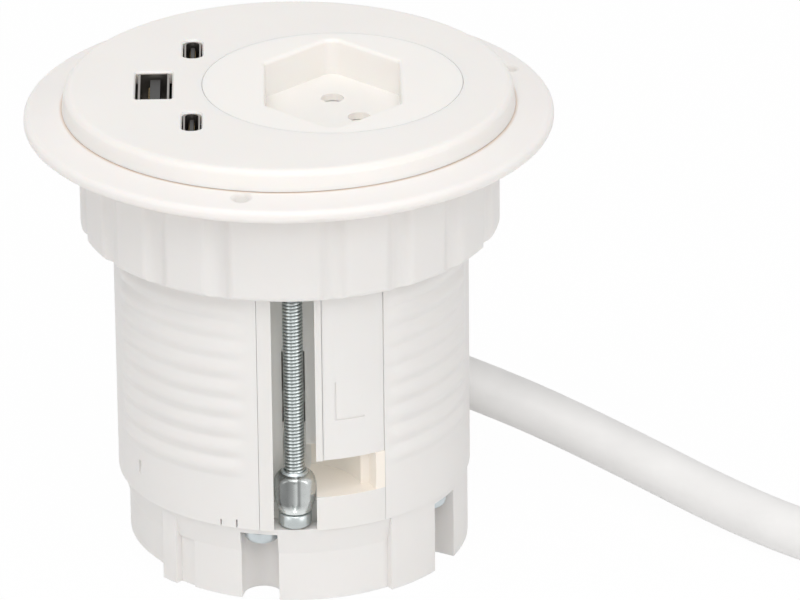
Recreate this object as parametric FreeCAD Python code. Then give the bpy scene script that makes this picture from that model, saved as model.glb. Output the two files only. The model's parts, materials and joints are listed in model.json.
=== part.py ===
import FreeCAD, Part
import math
import os

Vector = FreeCAD.Vector

# Recessed power module for a desk top, in millimetres.
# The origin is the centre of the bottom face, +Z is up and -Y is the front with the clamp screw.
# Angles are in degrees from the front, positive towards +X.

# Gaps and fits
fit_gap = 0.10
seam_gap = 0.08
part_gap = 0.30
running_gap = 0.08

# Cover disc
disc_radius = 43.2
disc_flare = 0.6
disc_thickness = 4.0
disc_plate = 2.5
disc_edge_round = 1.5
disc_rim_wall = 3.0
locating_ring_wall = 1.9

# Body levels and walls
cap_height = 15.6
body_length = 74.2
shell_radius = 34.1
shell_wall = 2.0
chassis_wall = 1.6

# Coarse outer thread
thread_pitch = 4.1
thread_depth = 0.8
ridge_base = 3.5
ridge_sink = 0.5
ridge_count = 14
lowest_ridge = 28.45
wide_ridges = (-68.0, -15.0)
narrow_ridges = (37.0, 76.0)
shell_front_edge = -10.0
shell_back_edge = 30.4

# Front and back channels with their rails
channel_width = 8.2
channel_depth = 5.2
channel_head = 6.5
channel_back_wall = 1.7
seam_rail = 2.7
panel_rail = 1.3

# Smooth side panel and the window under it
panel_recess = 0.3
panel_thickness = 1.0
panel_foot = 2.0
panel_end = 30.4
panel_mark_width = 5.6
panel_mark_height = 7.6
panel_mark_angle = 18.5
panel_mark_level = 38.5
panel_mark_depth = 0.2
panel_mark_line = 0.35
window_end = 27.0
window_bottom = 22.5
window_height = 7.6

# Latch window low on each shell
latch_angle = -59.0
latch_width = 3.4
latch_height = 3.8
latch_slope = 0.8
latch_level = 21.5

# Bottom cap
cap_inset = 2.0
cap_wall = 1.8
cap_floor = 2.0
cap_flare = 1.3
cap_flare_height = 5.6
cap_raised = 1.5
cap_raised_start = 33.0
cap_raised_end = 150.0
cap_rib = 1.0
cap_rib_start = -50.5
cap_rib_end = -44.0
cap_groove_end = -37.3
cap_groove_depth = 0.5
cap_foot_round = 2.4
cap_foot_round_start = -165.0
cap_screw_angles = (-12.4, 59.0, 167.6, -121.0)
cap_screw_inset = 2.2
cap_screw_radius = 1.7
cap_screw_length = 14.0
cap_screw_head = 3.4
cap_screw_head_height = 2.4
cap_flange = 1.3
notch_gap = 0.25

# Flange, slip washer and ring nut
flange_radius = 50.5
flange_edge = 2.5
flange_rise = 0.9
flange_round = 1.1
flange_seat = 1.6
washer_thickness = 1.2
washer_width = 3.6
dimple_radius = 1.95
dimple_floor_radius = 1.1
dimple_depth = 0.45
dimple_circle = 45.4
dimple_angles = (-11.5, 111.0, -128.5)
collar_wall = 4.95
collar_height = 18.9
collar_foot_round = 1.2
scallop_radius = 3.0
scallop_depth = 1.3
scallop_round = 1.8
scallop_gap_start = -20.3
scallop_gap = 31.6
scallop_count = 18
bore_gap = 0.35
lug_angles = (-128.0, -52.0, 58.0, 128.0)
lug_span = 9.0
lug_gap = 0.25
lug_tip = 0.6
lug_root = 1.6
lug_rows = 2
nut_turns = 4

# Clamp screws and claws
screw_inset = 2.9
screw_radius = 1.95
screw_head_radius = 3.15
screw_head_height = 2.9
screw_head_round = 0.9
drive_slot_width = 0.8
drive_slot_depth = 1.4
screw_stick_out = 3.0
clip_radius = 3.4
clip_thickness = 0.8
claw_radius = 3.95
claw_wall = 0.95
claw_height = 7.9
claw_foot = 3.15
claw_swell = 3.2
claw_round = 1.5
claw_floor = 1.2
claw_mouth_height = 6.5
claw_mouth_half = 3.05
claw_collar_wall = 0.6
claw_collar_height = 1.1
arm_reach = 12.5
arm_width = 3.4
arm_rise = 3.6
tooth_height = 1.5
tooth_length = 3.0
arm_room = 0.5
pocket_wall = 1.1
bush_radius = 2.6
bush_height = 3.0
bush_stand = 0.8

# Socket insert with its hexagonal recess
insert_offset = 8.4
insert_radius = 24.8
insert_lip = 1.2
insert_lip_height = 1.2
hex_width = 25.7
hex_length = 45.2
hex_side = 20.8
hex_depth = 7.2
hex_wall = 1.5
hex_floor = 2.2
hex_end_corner = 2.4
hex_side_corner = 0.8
hex_rim_round = 0.8

# Contacts, after the three round pins of 4 mm
pin_spacing = 19.0
earth_offset = 5.0
pin_hole = 2.2
contact_bore = 2.0
contact_wall = 0.65
contact_length = 12.0
stem_radius = 1.2
stem_length = 9.0

# Contact carrier, shutter and terminals
carrier_width = 27.4
carrier_length = 33.0
carrier_height = 15.2
shutter_width = 15.0
shutter_length = 25.0
shutter_thickness = 2.0
shutter_rise = 0.8
shutter_room = 0.15
shutter_travel = 4.8
carrier_screw_spacing = 28.6
carrier_screw_radius = 1.1
carrier_screw_head = 1.9
carrier_screw_head_height = 1.4
carrier_screw_grip = 1.4
block_width = 17.0
block_length = 24.0
block_height = 11.0
terminal_screw_radius = 1.6
terminal_screw_shank = 1.1
terminal_screw_length = 4.5
terminal_screw_head = 0.9

# Charging ports
port_drop = 0.4
port_height = 7.3
port_inset = 4.8
usb_a_opening_width = 5.12
usb_a_opening_length = 12.5
usb_a_wall = 0.4
usb_a_tongue_width = 1.9
usb_a_tongue_length = 11.1
usb_a_tongue_shift = 0.25
usb_c_angle = 44.4
usb_c_opening_width = 2.56
usb_c_opening_length = 8.34
usb_c_wall = 0.3
usb_c_tongue_width = 0.7
usb_c_tongue_length = 6.7
tongue_drop = 0.8
tongue_base = 1.2
usb_a_gap = 0.55
usb_c_gap = 0.3
port_bevel = 0.3
port_clearance = 0.06
port_end_gap = 0.12

# Charger electronics
board_thickness = 1.6
board_offset = 17.8
port_board_width = 48.0
charger_board_width = 31.0
charger_board_bottom = 27.0
transformer_depth = 13.5
transformer_width = 15.0
transformer_height = 16.0
transformer_level = 47.0
core_overhang = 1.6
core_inset = 0.2
capacitor_radius = 5.0
capacitor_length = 12.0
capacitor_low = 37.5
capacitor_high = 74.5
chip_depth = 1.5
chip_width = 8.0
chip_height = 6.0
chip_low = 36.0
chip_spacing = 17.0
chip_count = 3
board_rail = 1.8
board_rail_depth = 2.4
lead_radius = 0.8
lead_level = 61.0
lead_spacing = 4.0

# Cord, gland and internal strap
cord_radius = 4.9
gland_wall = 1.0
gland_length = 11.0
gland_rim = 1.1
boss_wall = 1.1
tail_room = 13.1
strap_length = 5.0
strap_thickness = 1.6
strap_ear = 5.2
strap_back = 14.0
strap_screw_radius = 1.1
strap_screw_head = 2.0
wire_radius = 1.3
wire_circle = 2.0
wire_first_turn = 330.0
wire_lift = 5.0
wire_lift_step = 2.0
wire_level = 46.0
wire_level_step = 5.0
arc_share = 0.45

# Exit of the cord, and the route of its centre line from there, chosen by hand
cord_exit_angle = 121.28
cord_exit_stand = 2.88
cord_exit_level = 22.9
cord_route = (
    (0.0, 0.0, 0.0),
    (11.8, -1.2, -4.7),
    (24.8, -4.6, -10.0),
    (37.8, -11.2, -14.4),
    (50.4, -21.2, -17.3),
    (63.2, -34.0, -18.0),
    (77.6, -45.6, -18.0),
    (94.8, -53.0, -18.0),
    (113.4, -55.2, -18.0),
    (132.0, -51.6, -18.0),
    (148.4, -42.4, -18.0),
    (161.6, -29.0, -18.0),
)

# Installation connector on the cord's end
connector_length = 34.0
connector_width = 24.0
connector_height = 15.4
connector_corner = 3.2
connector_wall = 1.8
connector_mouth = 14.0
connector_pin_radius = 1.6
connector_pin_spacing = 6.6
connector_pin_length = 9.0
relief_length = 22.0
relief_wall = 1.9
relief_tip_wall = 0.9

# Levels and radii worked out from the values above
up = Vector(0, 0, 1)
origin = Vector(0, 0, 0)
disc_seat = cap_height + body_length
disc_top = disc_seat + disc_thickness
plate_under = disc_top - disc_plate
shell_inner = shell_radius - shell_wall
chassis_radius = shell_inner - fit_gap
chassis_inner = chassis_radius - chassis_wall
crest_radius = shell_radius + thread_depth
screw_circle = shell_radius - screw_inset
screw_axis = Vector(0, -screw_circle, 0)
cord_tail = shell_radius - tail_room
cap_radius = shell_radius - cap_inset
cap_screw_circle = cap_radius - cap_screw_inset
shell_top = disc_seat - fit_gap
flange_top = disc_seat - fit_gap
flange_bottom = flange_top - flange_rise - flange_edge
flange_bore = shell_radius + fit_gap
washer_top = flange_bottom - part_gap
collar_top = washer_top - washer_thickness - running_gap
collar_bottom = collar_top - collar_height
nut_bore = crest_radius + bore_gap
collar_radius = nut_bore + collar_wall
nut_travel = nut_turns * thread_pitch
channel_floor = screw_circle - channel_depth
channel_ceiling = flange_bottom - channel_head
panel_radius = shell_radius - panel_recess
window_top = window_bottom + window_height
latch_bottom = latch_level - latch_height / 2
head_bottom = cap_height + part_gap
head_top = head_bottom + screw_head_height
claw_bottom = head_top + part_gap
claw_top = claw_bottom + claw_height
arm_bottom = claw_bottom + arm_rise
tooth_top = claw_top + tooth_height
claw_travel = collar_bottom - nut_travel - part_gap - tooth_top
pocket_radius = arm_reach + arm_room
slit_half = arm_width / 2 + arm_room
slit_top = tooth_top + claw_travel + arm_room
clip_bottom = channel_ceiling + channel_head / 2 + part_gap / 2
insert_under = disc_top - hex_depth - hex_floor
carrier_top = insert_under
carrier_bottom = carrier_top - carrier_height
shutter_top = insert_under + shutter_rise
shutter_space = shutter_thickness + 2 * shutter_room - shutter_rise
shutter_left = insert_offset - shutter_width / 2 - part_gap
shutter_right = insert_offset + shutter_width / 2 + shutter_travel + part_gap
shutter_half = shutter_length / 2 + part_gap
block_bottom = carrier_bottom - block_height
stem_end = carrier_bottom - stem_length + contact_wall
port_face = disc_top - port_drop
port_circle = chassis_inner - port_inset
port_board_edge = board_offset - chassis_inner
port_board_top = port_face - port_height
port_board_bottom = port_board_top - board_thickness
charger_face = port_board_edge - board_thickness
cord_end_level = cord_exit_level + cord_route[-1][2]
connector_axis = connector_height / 2 - cord_end_level
body_start = relief_length
body_end = relief_length + connector_length
socket_centre = Vector(insert_offset, 0, 0)
contact_places = {
    "line": (insert_offset, pin_spacing / 2),
    "neutral": (insert_offset, -pin_spacing / 2),
    "earth": (insert_offset + earth_offset, 0.0),
}


def save(node, shape):
    """Writes one node's solids, one STEP file each."""
    if isinstance(shape, list):
        shape = Part.makeCompound(shape)
    shape.exportStep("parts/" + node + ".step")


def at_angle(radius, angle, z):
    """The point at a radius and an angle from the front."""
    turn = math.radians(angle)
    return Vector(radius * math.sin(turn), -radius * math.cos(turn), z)


def disc(radius, bottom, top, centre=origin):
    """A solid cylinder between two levels."""
    return Part.makeCylinder(radius, top - bottom, Vector(centre.x, centre.y, bottom), up)


def ring(outer, inner, bottom, top, centre=origin):
    """A plain tube between two levels."""
    return disc(outer, bottom, top, centre).cut(disc(inner, bottom - 1, top + 1, centre))


def sector(radius, start, end, bottom, top):
    """A slice of a cylinder from one angle to another."""
    base = Vector(0, 0, bottom)
    piece = Part.makeCylinder(radius, top - bottom, base, up, end - start)
    piece.rotate(origin, up, start - 90)
    return piece


def ring_sector(outer, inner, start, end, bottom, top):
    """A slice of a tube from one angle to another."""
    return sector(outer, start, end, bottom, top).cut(disc(inner, bottom - 1, top + 1))


def block(low, high):
    """A box from its lowest to its highest corner."""
    size = [high[i] - low[i] for i in range(3)]
    return Part.makeBox(size[0], size[1], size[2], Vector(*low))


def turned(profile, start=0.0, sweep=360.0):
    """A solid turned about the vertical axis from points given as (radius, level)."""
    points = [Vector(r, 0, z) for r, z in profile]
    face = Part.Face(Part.makePolygon(points + [points[0]]))
    piece = face.revolve(origin, up, sweep)
    piece.rotate(origin, up, start - 90)
    return piece


def soften(solid, amount, radius, level):
    """Round the level circular edge of the given radius."""
    edges = [e for e in solid.Edges if is_level_circle(e, radius, level)]
    return solid.makeFillet(amount, edges)


def is_level_circle(edge, radius, level):
    """Whether an edge is the whole level circle of the given radius about the axis."""
    box = edge.BoundBox
    flat = abs(box.ZMin - level) < 1e-6 and abs(box.ZMax - level) < 1e-6
    return flat and abs(box.XMax - radius) < 1e-3 and abs(box.XMin + radius) < 1e-3


def half_turn(shape):
    """The same piece at the back of the body."""
    copy = shape.copy()
    copy.rotate(origin, up, 180)
    return copy


def rounded_plate(width, length, corner, bottom, top, centre):
    """An upright prism with rounded corners, centred on a point."""
    half_w, half_l = width / 2, length / 2
    plate = block((-half_w, -half_l, bottom), (half_w, half_l, top))
    upright = [e for e in plate.Edges if abs(e.BoundBox.ZLength - (top - bottom)) < 1e-6]
    plate = plate.makeFillet(corner, upright)
    plate.translate(Vector(centre[0], centre[1], 0))
    return plate


def hexagon(grow, bottom, top):
    """The elongated hexagon of the recess, grown on all sides."""
    half_w = hex_width / 2
    half_s = hex_side / 2
    half_l = hex_length / 2
    slope = math.hypot(half_w, half_l - half_s)
    tip = half_l + grow * slope / half_w
    shoulder = half_s + grow * (slope - (half_l - half_s)) / half_w
    side = half_w + grow
    corners = [(side, shoulder), (0, tip), (-side, shoulder)]
    corners += [(-side, -shoulder), (0, -tip), (side, -shoulder)]
    points = [Vector(insert_offset + x, y, bottom) for x, y in corners]
    face = Part.Face(Part.makePolygon(points + [points[0]]))
    solid = face.extrude(Vector(0, 0, top - bottom))
    for radius, is_end in ((hex_end_corner, True), (hex_side_corner, False)):
        edges = [e for e in solid.Edges if is_hexagon_corner(e, top - bottom, is_end)]
        solid = solid.makeFillet(radius + grow, edges)
    return solid


def is_hexagon_corner(edge, height, is_end):
    """Whether an edge is an upright corner of the hexagon, at its ends or at its sides."""
    box = edge.BoundBox
    upright = abs(box.ZLength - height) < 1e-6 and box.XLength + box.YLength < 1e-6
    near_end = abs(box.Center.y) > (hex_side + hex_length) / 4
    near_side = hex_width / 2 - abs(box.Center.x - insert_offset) < 1e-6
    return upright and (near_end if is_end else near_side)


def turn_radius(before, corner, after):
    """The arc radius at one corner of a route, and the length it takes from each run."""
    run_in = corner - before
    run_out = after - corner
    turn = run_in.getAngle(run_out)
    back = arc_share * min(run_in.Length, run_out.Length)
    return back / math.tan(turn / 2), back


def route_wire(points):
    """Straight runs joined by tangent arcs through a list of points."""
    edges = []
    place = points[0]
    for before, corner, after in zip(points, points[1:], points[2:]):
        back = turn_radius(before, corner, after)[1]
        start = corner - (corner - before).normalize() * back
        end = corner + (after - corner).normalize() * back
        bisector = ((before - corner).normalize() + (after - corner).normalize()).normalize()
        half_angle = (before - corner).getAngle(after - corner) / 2
        radius = back * math.tan(half_angle)
        middle = corner + bisector * (back / math.cos(half_angle) - radius)
        edges.append(Part.LineSegment(place, start).toShape())
        edges.append(Part.Arc(start, middle, end).toShape())
        place = end
    edges.append(Part.LineSegment(place, points[-1]).toShape())
    return Part.Wire(edges)


def tube_along(points, radius):
    """A round tube of one section along a route."""
    path = route_wire(points)
    direction = points[1] - points[0]
    section = Part.Wire(Part.makeCircle(radius, points[0], direction))
    return path.makePipeShell([section], True, False), path.Length


# Direction of the cord where it leaves the body
cord_exit = at_angle(shell_radius + cord_exit_stand, cord_exit_angle, cord_exit_level)
cord_points = [cord_exit + Vector(*step) for step in cord_route]
cord_start = cord_points[0]
cord_axis = (cord_points[1] - cord_start).normalize()
cord_heading = math.degrees(math.atan2(cord_axis.y, cord_axis.x))
cord_pitch = -math.degrees(math.asin(cord_axis.z))
gland_radius = cord_radius + gland_wall
boss_radius = gland_radius + boss_wall


def along_cord(distance):
    """A point on the straight line of the cord's exit, counted inwards."""
    return cord_start - cord_axis * distance


def cord_cylinder(radius, back, front):
    """A cylinder round the exit line, between two distances inwards."""
    return Part.makeCylinder(radius, back - front, along_cord(back), cord_axis)


# Threaded shells
def ridge(start, end, level):
    """One ridge of the coarse thread, over part of a turn."""
    height = thread_pitch * (end - start) / 360
    helix = Part.makeHelix(thread_pitch, height, shell_radius)
    half = ridge_base / 2
    inside = shell_radius - ridge_sink
    above = Vector(shell_radius, 0, half)
    below = Vector(shell_radius, 0, -half)
    foot = Part.makePolygon([above, Vector(inside, 0, half), Vector(inside, 0, -half), below])
    crest = Part.Arc(below, Vector(crest_radius, 0, 0), above).toShape()
    profile = Part.Wire(foot.Edges + [crest])
    piece = Part.Wire(helix).makePipeShell([profile], True, True)
    piece.rotate(origin, up, start - 90)
    piece.translate(Vector(0, 0, level))
    return piece


def ridge_level(turn, angle):
    """The level of the thread's ridge at an angle, on one of its turns."""
    return lowest_ridge + thread_pitch * (turn + angle / 360)


def thread_shell(turned_by):
    """Half of the outer sleeve, with its two fields of ridges."""
    start = shell_back_edge - 180 + turned_by
    end = shell_front_edge + turned_by
    shell = ring_sector(shell_radius, shell_inner, start, end, cap_height, shell_top)
    beside = channel_outline(seam_gap)
    shell = shell.cut([beside, half_turn(beside)])
    latch = at_angle(shell_radius, latch_angle + turned_by, latch_bottom)
    opening = block((-latch_width / 2, -shell_wall * 2, 0), (latch_width / 2, shell_wall * 2, latch_height))
    opening.rotate(origin, up, latch_angle + turned_by)
    opening.translate(latch)
    shell = shell.cut(opening)
    ridges = []
    for field in (wide_ridges, (narrow_ridges[0] - 180, narrow_ridges[1] - 180)):
        first = field[0] + turned_by
        last = field[1] + turned_by
        for turn in range(ridge_count):
            ridges.append(ridge(first, last, ridge_level(turn, first)))
    return shell.fuse(ridges).cut(cord_cylinder(boss_radius + part_gap, cord_tail, -boss_radius))


# Inner chassis
def channel_outline(gap):
    """The upright block that the channel is cut in, grown by a gap."""
    left = -channel_width / 2 - seam_rail - gap
    right = channel_width / 2 + panel_rail + gap
    back = channel_back_wall - channel_floor
    return block((left, -shell_radius - 1, cap_height), (right, back, plate_under))


def clamp_channel_block():
    """The solid that carries the channel, its rails and its bearing at the front."""
    lower = channel_outline(0).common(disc(shell_radius, cap_height, shell_top))
    upper = channel_outline(0).common(disc(chassis_radius, cap_height, plate_under))
    return lower.fuse(upper)


def claw_sweep(radius, side, bottom, top):
    """The part of a round room about the screw on the inner and right side of the channel."""
    half = block((-side, -shell_radius - 1, bottom), (radius, radius - screw_circle, top))
    return disc(radius, bottom, top, screw_axis).common(half)


def window_frame():
    """What stands round the claw's window: its pocket, the band under it and the post beside it."""
    radius = pocket_radius + pocket_wall
    side = slit_half + pocket_wall
    pocket = claw_sweep(radius, side, window_bottom - pocket_wall, window_top + pocket_wall)
    pocket = pocket.common(disc(chassis_radius, cap_height, plate_under))
    edge = shell_back_edge - math.degrees(seam_gap / shell_radius)
    band = ring_sector(shell_radius, chassis_inner, 0, edge, cap_height, window_bottom)
    post = ring_sector(shell_radius, chassis_inner, window_end, edge, window_bottom, window_top)
    return pocket.fuse([band, post])


def clamp_channel_cut():
    """Everything that is cut out of the channel block at the front."""
    half = channel_width / 2
    channel = block((-half, -shell_radius - 2, cap_height - 1), (half, -channel_floor, channel_ceiling))
    bearing = disc(screw_radius + running_gap, channel_ceiling - 1, plate_under + 1, screw_axis)
    room = disc(clip_radius + part_gap, clip_bottom - part_gap, plate_under + 1, screw_axis)
    side = clip_radius + part_gap
    mouth = block((-side, -shell_radius - 2, clip_bottom - part_gap), (side, -screw_circle, plate_under + 1))
    pocket = claw_sweep(pocket_radius, slit_half, window_bottom, window_top)
    front_low = (0, -shell_radius - 2, window_bottom)
    front = block(front_low, (shell_radius, -screw_circle + arm_width, window_top))
    window = front.common(sector(shell_radius + 2, 0, window_end, window_bottom, window_top))
    inward = pocket_radius - screw_circle
    slit = block((-slit_half, -screw_circle, window_bottom), (slit_half, inward, slit_top))
    return channel.fuse([bearing, room, mouth, pocket, window, slit])


def chassis():
    """The inner tube that everything is fixed to."""
    tube = ring(chassis_radius, chassis_inner, cap_height, plate_under)
    channel = clamp_channel_block().fuse(window_frame())
    body = tube.fuse([channel, half_turn(channel)])
    boss = cord_cylinder(boss_radius, cord_tail - gland_rim, 0)
    cradle = cord_cylinder(boss_radius, cord_tail - gland_rim, strap_back - 1)
    body = body.fuse(boss)
    screw_posts = []
    for angle in cap_screw_angles:
        centre = at_angle(cap_screw_circle, angle, 0)
        post = disc(cap_screw_radius * 2, cap_height, cap_height + cap_screw_length, centre)
        screw_posts.append(post.common(disc(chassis_radius, cap_height, plate_under)))
    body = body.fuse(screw_posts + latch_noses() + board_rails())
    body = body.cut(clamp_channel_cut()).cut(half_turn(clamp_channel_cut()))
    hole_top = cap_height + cap_screw_length - cap_flange
    for angle in cap_screw_angles:
        centre = at_angle(cap_screw_circle, angle, 0)
        body = body.cut(disc(cap_screw_radius, cap_height - 1, hole_top, centre))
    body = body.cut(cord_cylinder(cord_radius + fit_gap, cord_tail + 2, -1))
    body = body.cut(cord_cylinder(gland_radius, gland_length, -1))
    return body.cut(cradle.common(strap_space()))


def latch_noses():
    """The snap noses that show in the shells' latch windows."""
    noses = []
    for turned_by in (0, 180):
        low = latch_bottom + part_gap
        high = latch_bottom + latch_height - part_gap
        half_angle = math.degrees((latch_width / 2 - part_gap) / chassis_radius)
        angle = latch_angle + turned_by
        root = chassis_inner + chassis_wall / 2
        face = shell_radius - fit_gap
        profile = [(root, low), (face, low), (face - latch_slope, high), (root, high)]
        noses.append(turned(profile, angle - half_angle, 2 * half_angle))
    return noses


def board_rails():
    """Two grooved rails on the inner wall that hold the charger board."""
    half = charger_board_width / 2
    rails = []
    for side in (-1, 1):
        reach = side * (half - board_rail_depth)
        outer = side * chassis_radius
        low = (charger_face - board_rail, min(reach, outer), charger_board_bottom)
        high = (port_board_edge + board_rail, max(reach, outer), port_board_bottom)
        rail = block(low, high).common(disc(chassis_radius, charger_board_bottom, port_board_bottom))
        slot = block(
            (charger_face - fit_gap, -half - fit_gap, charger_board_bottom + board_thickness),
            (port_board_edge + fit_gap, half + fit_gap, port_board_bottom + 1),
        )
        rails.append(rail.cut(slot))
    return rails


def side_panel():
    """The smooth panel between the channel and the shell, above the window."""
    edge = panel_end - math.degrees(seam_gap / shell_radius)
    skin = ring_sector(panel_radius, panel_radius - panel_thickness, 0, edge, window_top, shell_top)
    foot = ring_sector(panel_radius, chassis_radius, 0, edge, window_top, window_top + panel_foot)
    head = ring_sector(panel_radius, chassis_radius, 0, edge, shell_top - panel_foot, shell_top)
    return skin.fuse([foot, head]).cut([channel_outline(seam_gap), panel_mark()])


def panel_mark():
    """The fine angled groove low on the panel."""
    half_angle = math.degrees(panel_mark_width / panel_radius / 2)
    start, end = panel_mark_angle - half_angle, panel_mark_angle + half_angle
    line_angle = math.degrees(panel_mark_line / panel_radius)
    inner = panel_radius - panel_mark_depth
    foot = panel_mark_level - panel_mark_line
    head = panel_mark_level + panel_mark_height
    upright = ring_sector(shell_radius, inner, start - line_angle, start, foot, head)
    level = ring_sector(shell_radius, inner, start, end, foot, panel_mark_level)
    return upright.fuse(level)


# Bottom cap and its screws
def bottom_cap():
    """The closing cap with its flare, raised side, rib and screw notches."""
    flare_start = cap_height - cap_flare_height
    flare_radius = cap_radius + cap_flare
    side = [(cap_radius, 0), (cap_radius, flare_start), (flare_radius, cap_height)]
    outline = [(0, 0)] + side + [(0, cap_height)]
    solid = turned(outline)
    inner = cap_radius - cap_foot_round
    outer = cap_radius + 1
    corner = [(inner, -1), (outer, -1), (outer, cap_foot_round), (cap_radius, cap_foot_round), (inner, 0)]
    rounding = turned(corner, cap_foot_round_start, cap_rib_start - cap_foot_round_start)
    solid = solid.cut(rounding)
    raised = sector(cap_radius + cap_raised, cap_raised_start, cap_raised_end, 0, cap_height)
    rib = sector(cap_radius + cap_rib, cap_rib_start, cap_rib_end, 0, cap_height)
    solid = solid.fuse([raised, rib])
    groove_floor = cap_radius - cap_groove_depth
    groove = ring_sector(flare_radius + 1, groove_floor, cap_rib_end, cap_groove_end, -1, flare_start)
    inside = disc(cap_radius - cap_wall, cap_floor, cap_height + 1)
    solid = solid.cut(groove).cut(inside)
    notch_radius = cap_screw_head + notch_gap
    notch_top = cap_height - cap_flange
    for angle in cap_screw_angles:
        centre = at_angle(cap_screw_circle, angle, 0)
        wall = disc(notch_radius + cap_wall, 0, cap_height, centre).common(disc(cap_radius, 0, cap_height))
        slot = block((-notch_radius, -cap_radius, -1), (notch_radius, 0, notch_top))
        slot.rotate(origin, up, angle)
        slot.translate(centre)
        notch = disc(notch_radius, -1, notch_top, centre).fuse(slot)
        hole = disc(cap_screw_radius + running_gap, -1, cap_height + 1, centre)
        solid = solid.fuse(wall).cut(notch).cut(hole)
    return solid


def cap_screw(angle):
    """One pan-head screw that holds the cap, head down in its notch."""
    centre = at_angle(cap_screw_circle, angle, 0)
    top = cap_height - cap_flange
    bottom = top - cap_screw_head_height
    shank = disc(cap_screw_radius, top, cap_height + cap_screw_length - 2 * cap_flange, centre)
    head = disc(cap_screw_head, bottom, top, centre)
    lower = [e for e in head.Edges if abs(e.BoundBox.ZMax - bottom) < 1e-6]
    head = head.makeFillet(cap_screw_head_height * 0.6, lower)
    cross_depth = cap_screw_head_height / 2
    cross_half = cap_screw_head * 0.55
    slot_half = cap_screw_head * 0.11
    recess = block((-cross_half, -slot_half, bottom - 1), (cross_half, slot_half, bottom + cross_depth))
    other = block((-slot_half, -cross_half, bottom - 1), (slot_half, cross_half, bottom + cross_depth))
    recess = recess.fuse(other)
    recess.rotate(origin, up, angle)
    recess.translate(Vector(centre.x, centre.y, 0))
    return head.fuse(shank).cut(recess)


# Flange, slip washer and ring nut
def flange():
    """The wide ring that bears on the desk, with three shallow dimples."""
    edge_top = flange_top - flange_rise
    seat_radius = disc_radius - flange_seat
    outline = [
        (flange_bore, disc_seat),
        (seat_radius, disc_seat),
        (seat_radius, flange_top),
        (disc_radius, flange_top),
        (flange_radius, edge_top),
        (flange_radius, flange_bottom),
        (flange_bore, flange_bottom),
    ]
    solid = turned(outline)
    for level in (edge_top, flange_bottom):
        solid = soften(solid, flange_round, flange_radius, level)
    slope_run = flange_radius - disc_radius
    slope = math.degrees(math.atan2(flange_rise, slope_run))
    for angle in dimple_angles:
        drop = flange_rise * (dimple_circle - disc_radius) / slope_run
        place = at_angle(dimple_circle, angle, flange_top - drop)
        foot = Vector(0, 0, -dimple_depth)
        dimple = Part.makeCone(dimple_floor_radius, dimple_radius, dimple_depth, foot, up)
        dimple = dimple.fuse(Part.makeCylinder(dimple_radius, dimple_depth, origin, up))
        dimple.rotate(origin, Vector(1, 0, 0), slope)
        dimple.rotate(origin, up, angle)
        dimple.translate(place)
        solid = solid.cut(dimple)
    return solid


def slip_washer():
    """The loose ring on the nut that keeps it from rubbing on the desk."""
    return ring(nut_bore + washer_width, nut_bore, washer_top - washer_thickness, washer_top)


def is_lobe_corner(edge):
    """Whether an edge is one of the upright corners between the lobes and the scallops."""
    box = edge.BoundBox
    upright = box.XLength + box.YLength < 1e-6 and box.ZLength > collar_height / 2
    on_scallop = abs(math.hypot(box.Center.x, box.Center.y) - collar_radius) < 1e-3
    return upright and on_scallop


def ring_nut():
    """The lobed nut with the lugs that run in the thread."""
    solid = disc(collar_radius, collar_bottom, collar_top)
    solid = soften(solid, collar_foot_round, collar_radius, collar_bottom)
    step = (360 - scallop_gap) / (scallop_count - 1)
    scallops = []
    for number in range(scallop_count):
        angle = scallop_gap_start - number * step
        centre = at_angle(collar_radius + scallop_radius - scallop_depth, angle, 0)
        scallops.append(disc(scallop_radius, collar_bottom - 1, collar_top + 1, centre))
    lobed = disc(collar_radius, collar_bottom, collar_top).cut(scallops)
    corners = [e for e in lobed.Edges if is_lobe_corner(e)]
    solid = solid.common(lobed.makeFillet(scallop_round, corners))
    solid = solid.cut(disc(nut_bore, collar_bottom - 1, collar_top + 1))
    lugs = []
    for angle in lug_angles:
        for row in range(lug_rows):
            turn = math.ceil((collar_bottom + thread_pitch - ridge_level(0, angle)) / thread_pitch) + 2 * row
            level = ridge_level(turn, angle) - thread_pitch / 2
            tip = shell_radius + lug_gap
            root = nut_bore + fit_gap
            profile = [(root, level - lug_root / 2), (root, level + lug_root / 2)]
            profile += [(tip, level + lug_tip / 2), (tip, level - lug_tip / 2)]
            lugs.append(turned(profile, angle - lug_span / 2, lug_span))
    return solid.fuse(lugs)


# Clamp screws, clips, bushes and claws
screw_end = clip_bottom + clip_thickness + screw_stick_out


def clamp_screw():
    """The long metric screw at the front, head down, with its driving slot on top."""
    rod = disc(screw_radius, head_top, screw_end, screw_axis)
    head = disc(screw_head_radius, head_bottom, head_top, screw_axis)
    lower = [e for e in head.Edges if abs(e.BoundBox.ZMax - head_bottom) < 1e-6]
    head = head.makeFillet(screw_head_round, lower)
    half = drive_slot_width / 2
    slot = block(
        (-screw_radius - 1, -screw_circle - half, screw_end - drive_slot_depth),
        (screw_radius + 1, -screw_circle + half, screw_end + 1),
    )
    return rod.fuse(head).cut(slot)


def retaining_clip():
    """The spring clip that keeps the screw in its bearing."""
    clip = ring(clip_radius, screw_radius, clip_bottom, clip_bottom + clip_thickness, screw_axis)
    gap = block(
        (-screw_radius * 0.7, -screw_circle, clip_bottom - 1),
        (screw_radius * 0.7, -screw_circle + clip_radius + 1, clip_bottom + clip_thickness + 1),
    )
    return clip.cut(gap)


def clamp_bush():
    """The threaded bush that climbs the screw and carries the claw."""
    bottom = claw_top + bush_stand - bush_height
    return ring(bush_radius, screw_radius + running_gap, bottom, claw_top + bush_stand, screw_axis)


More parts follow.
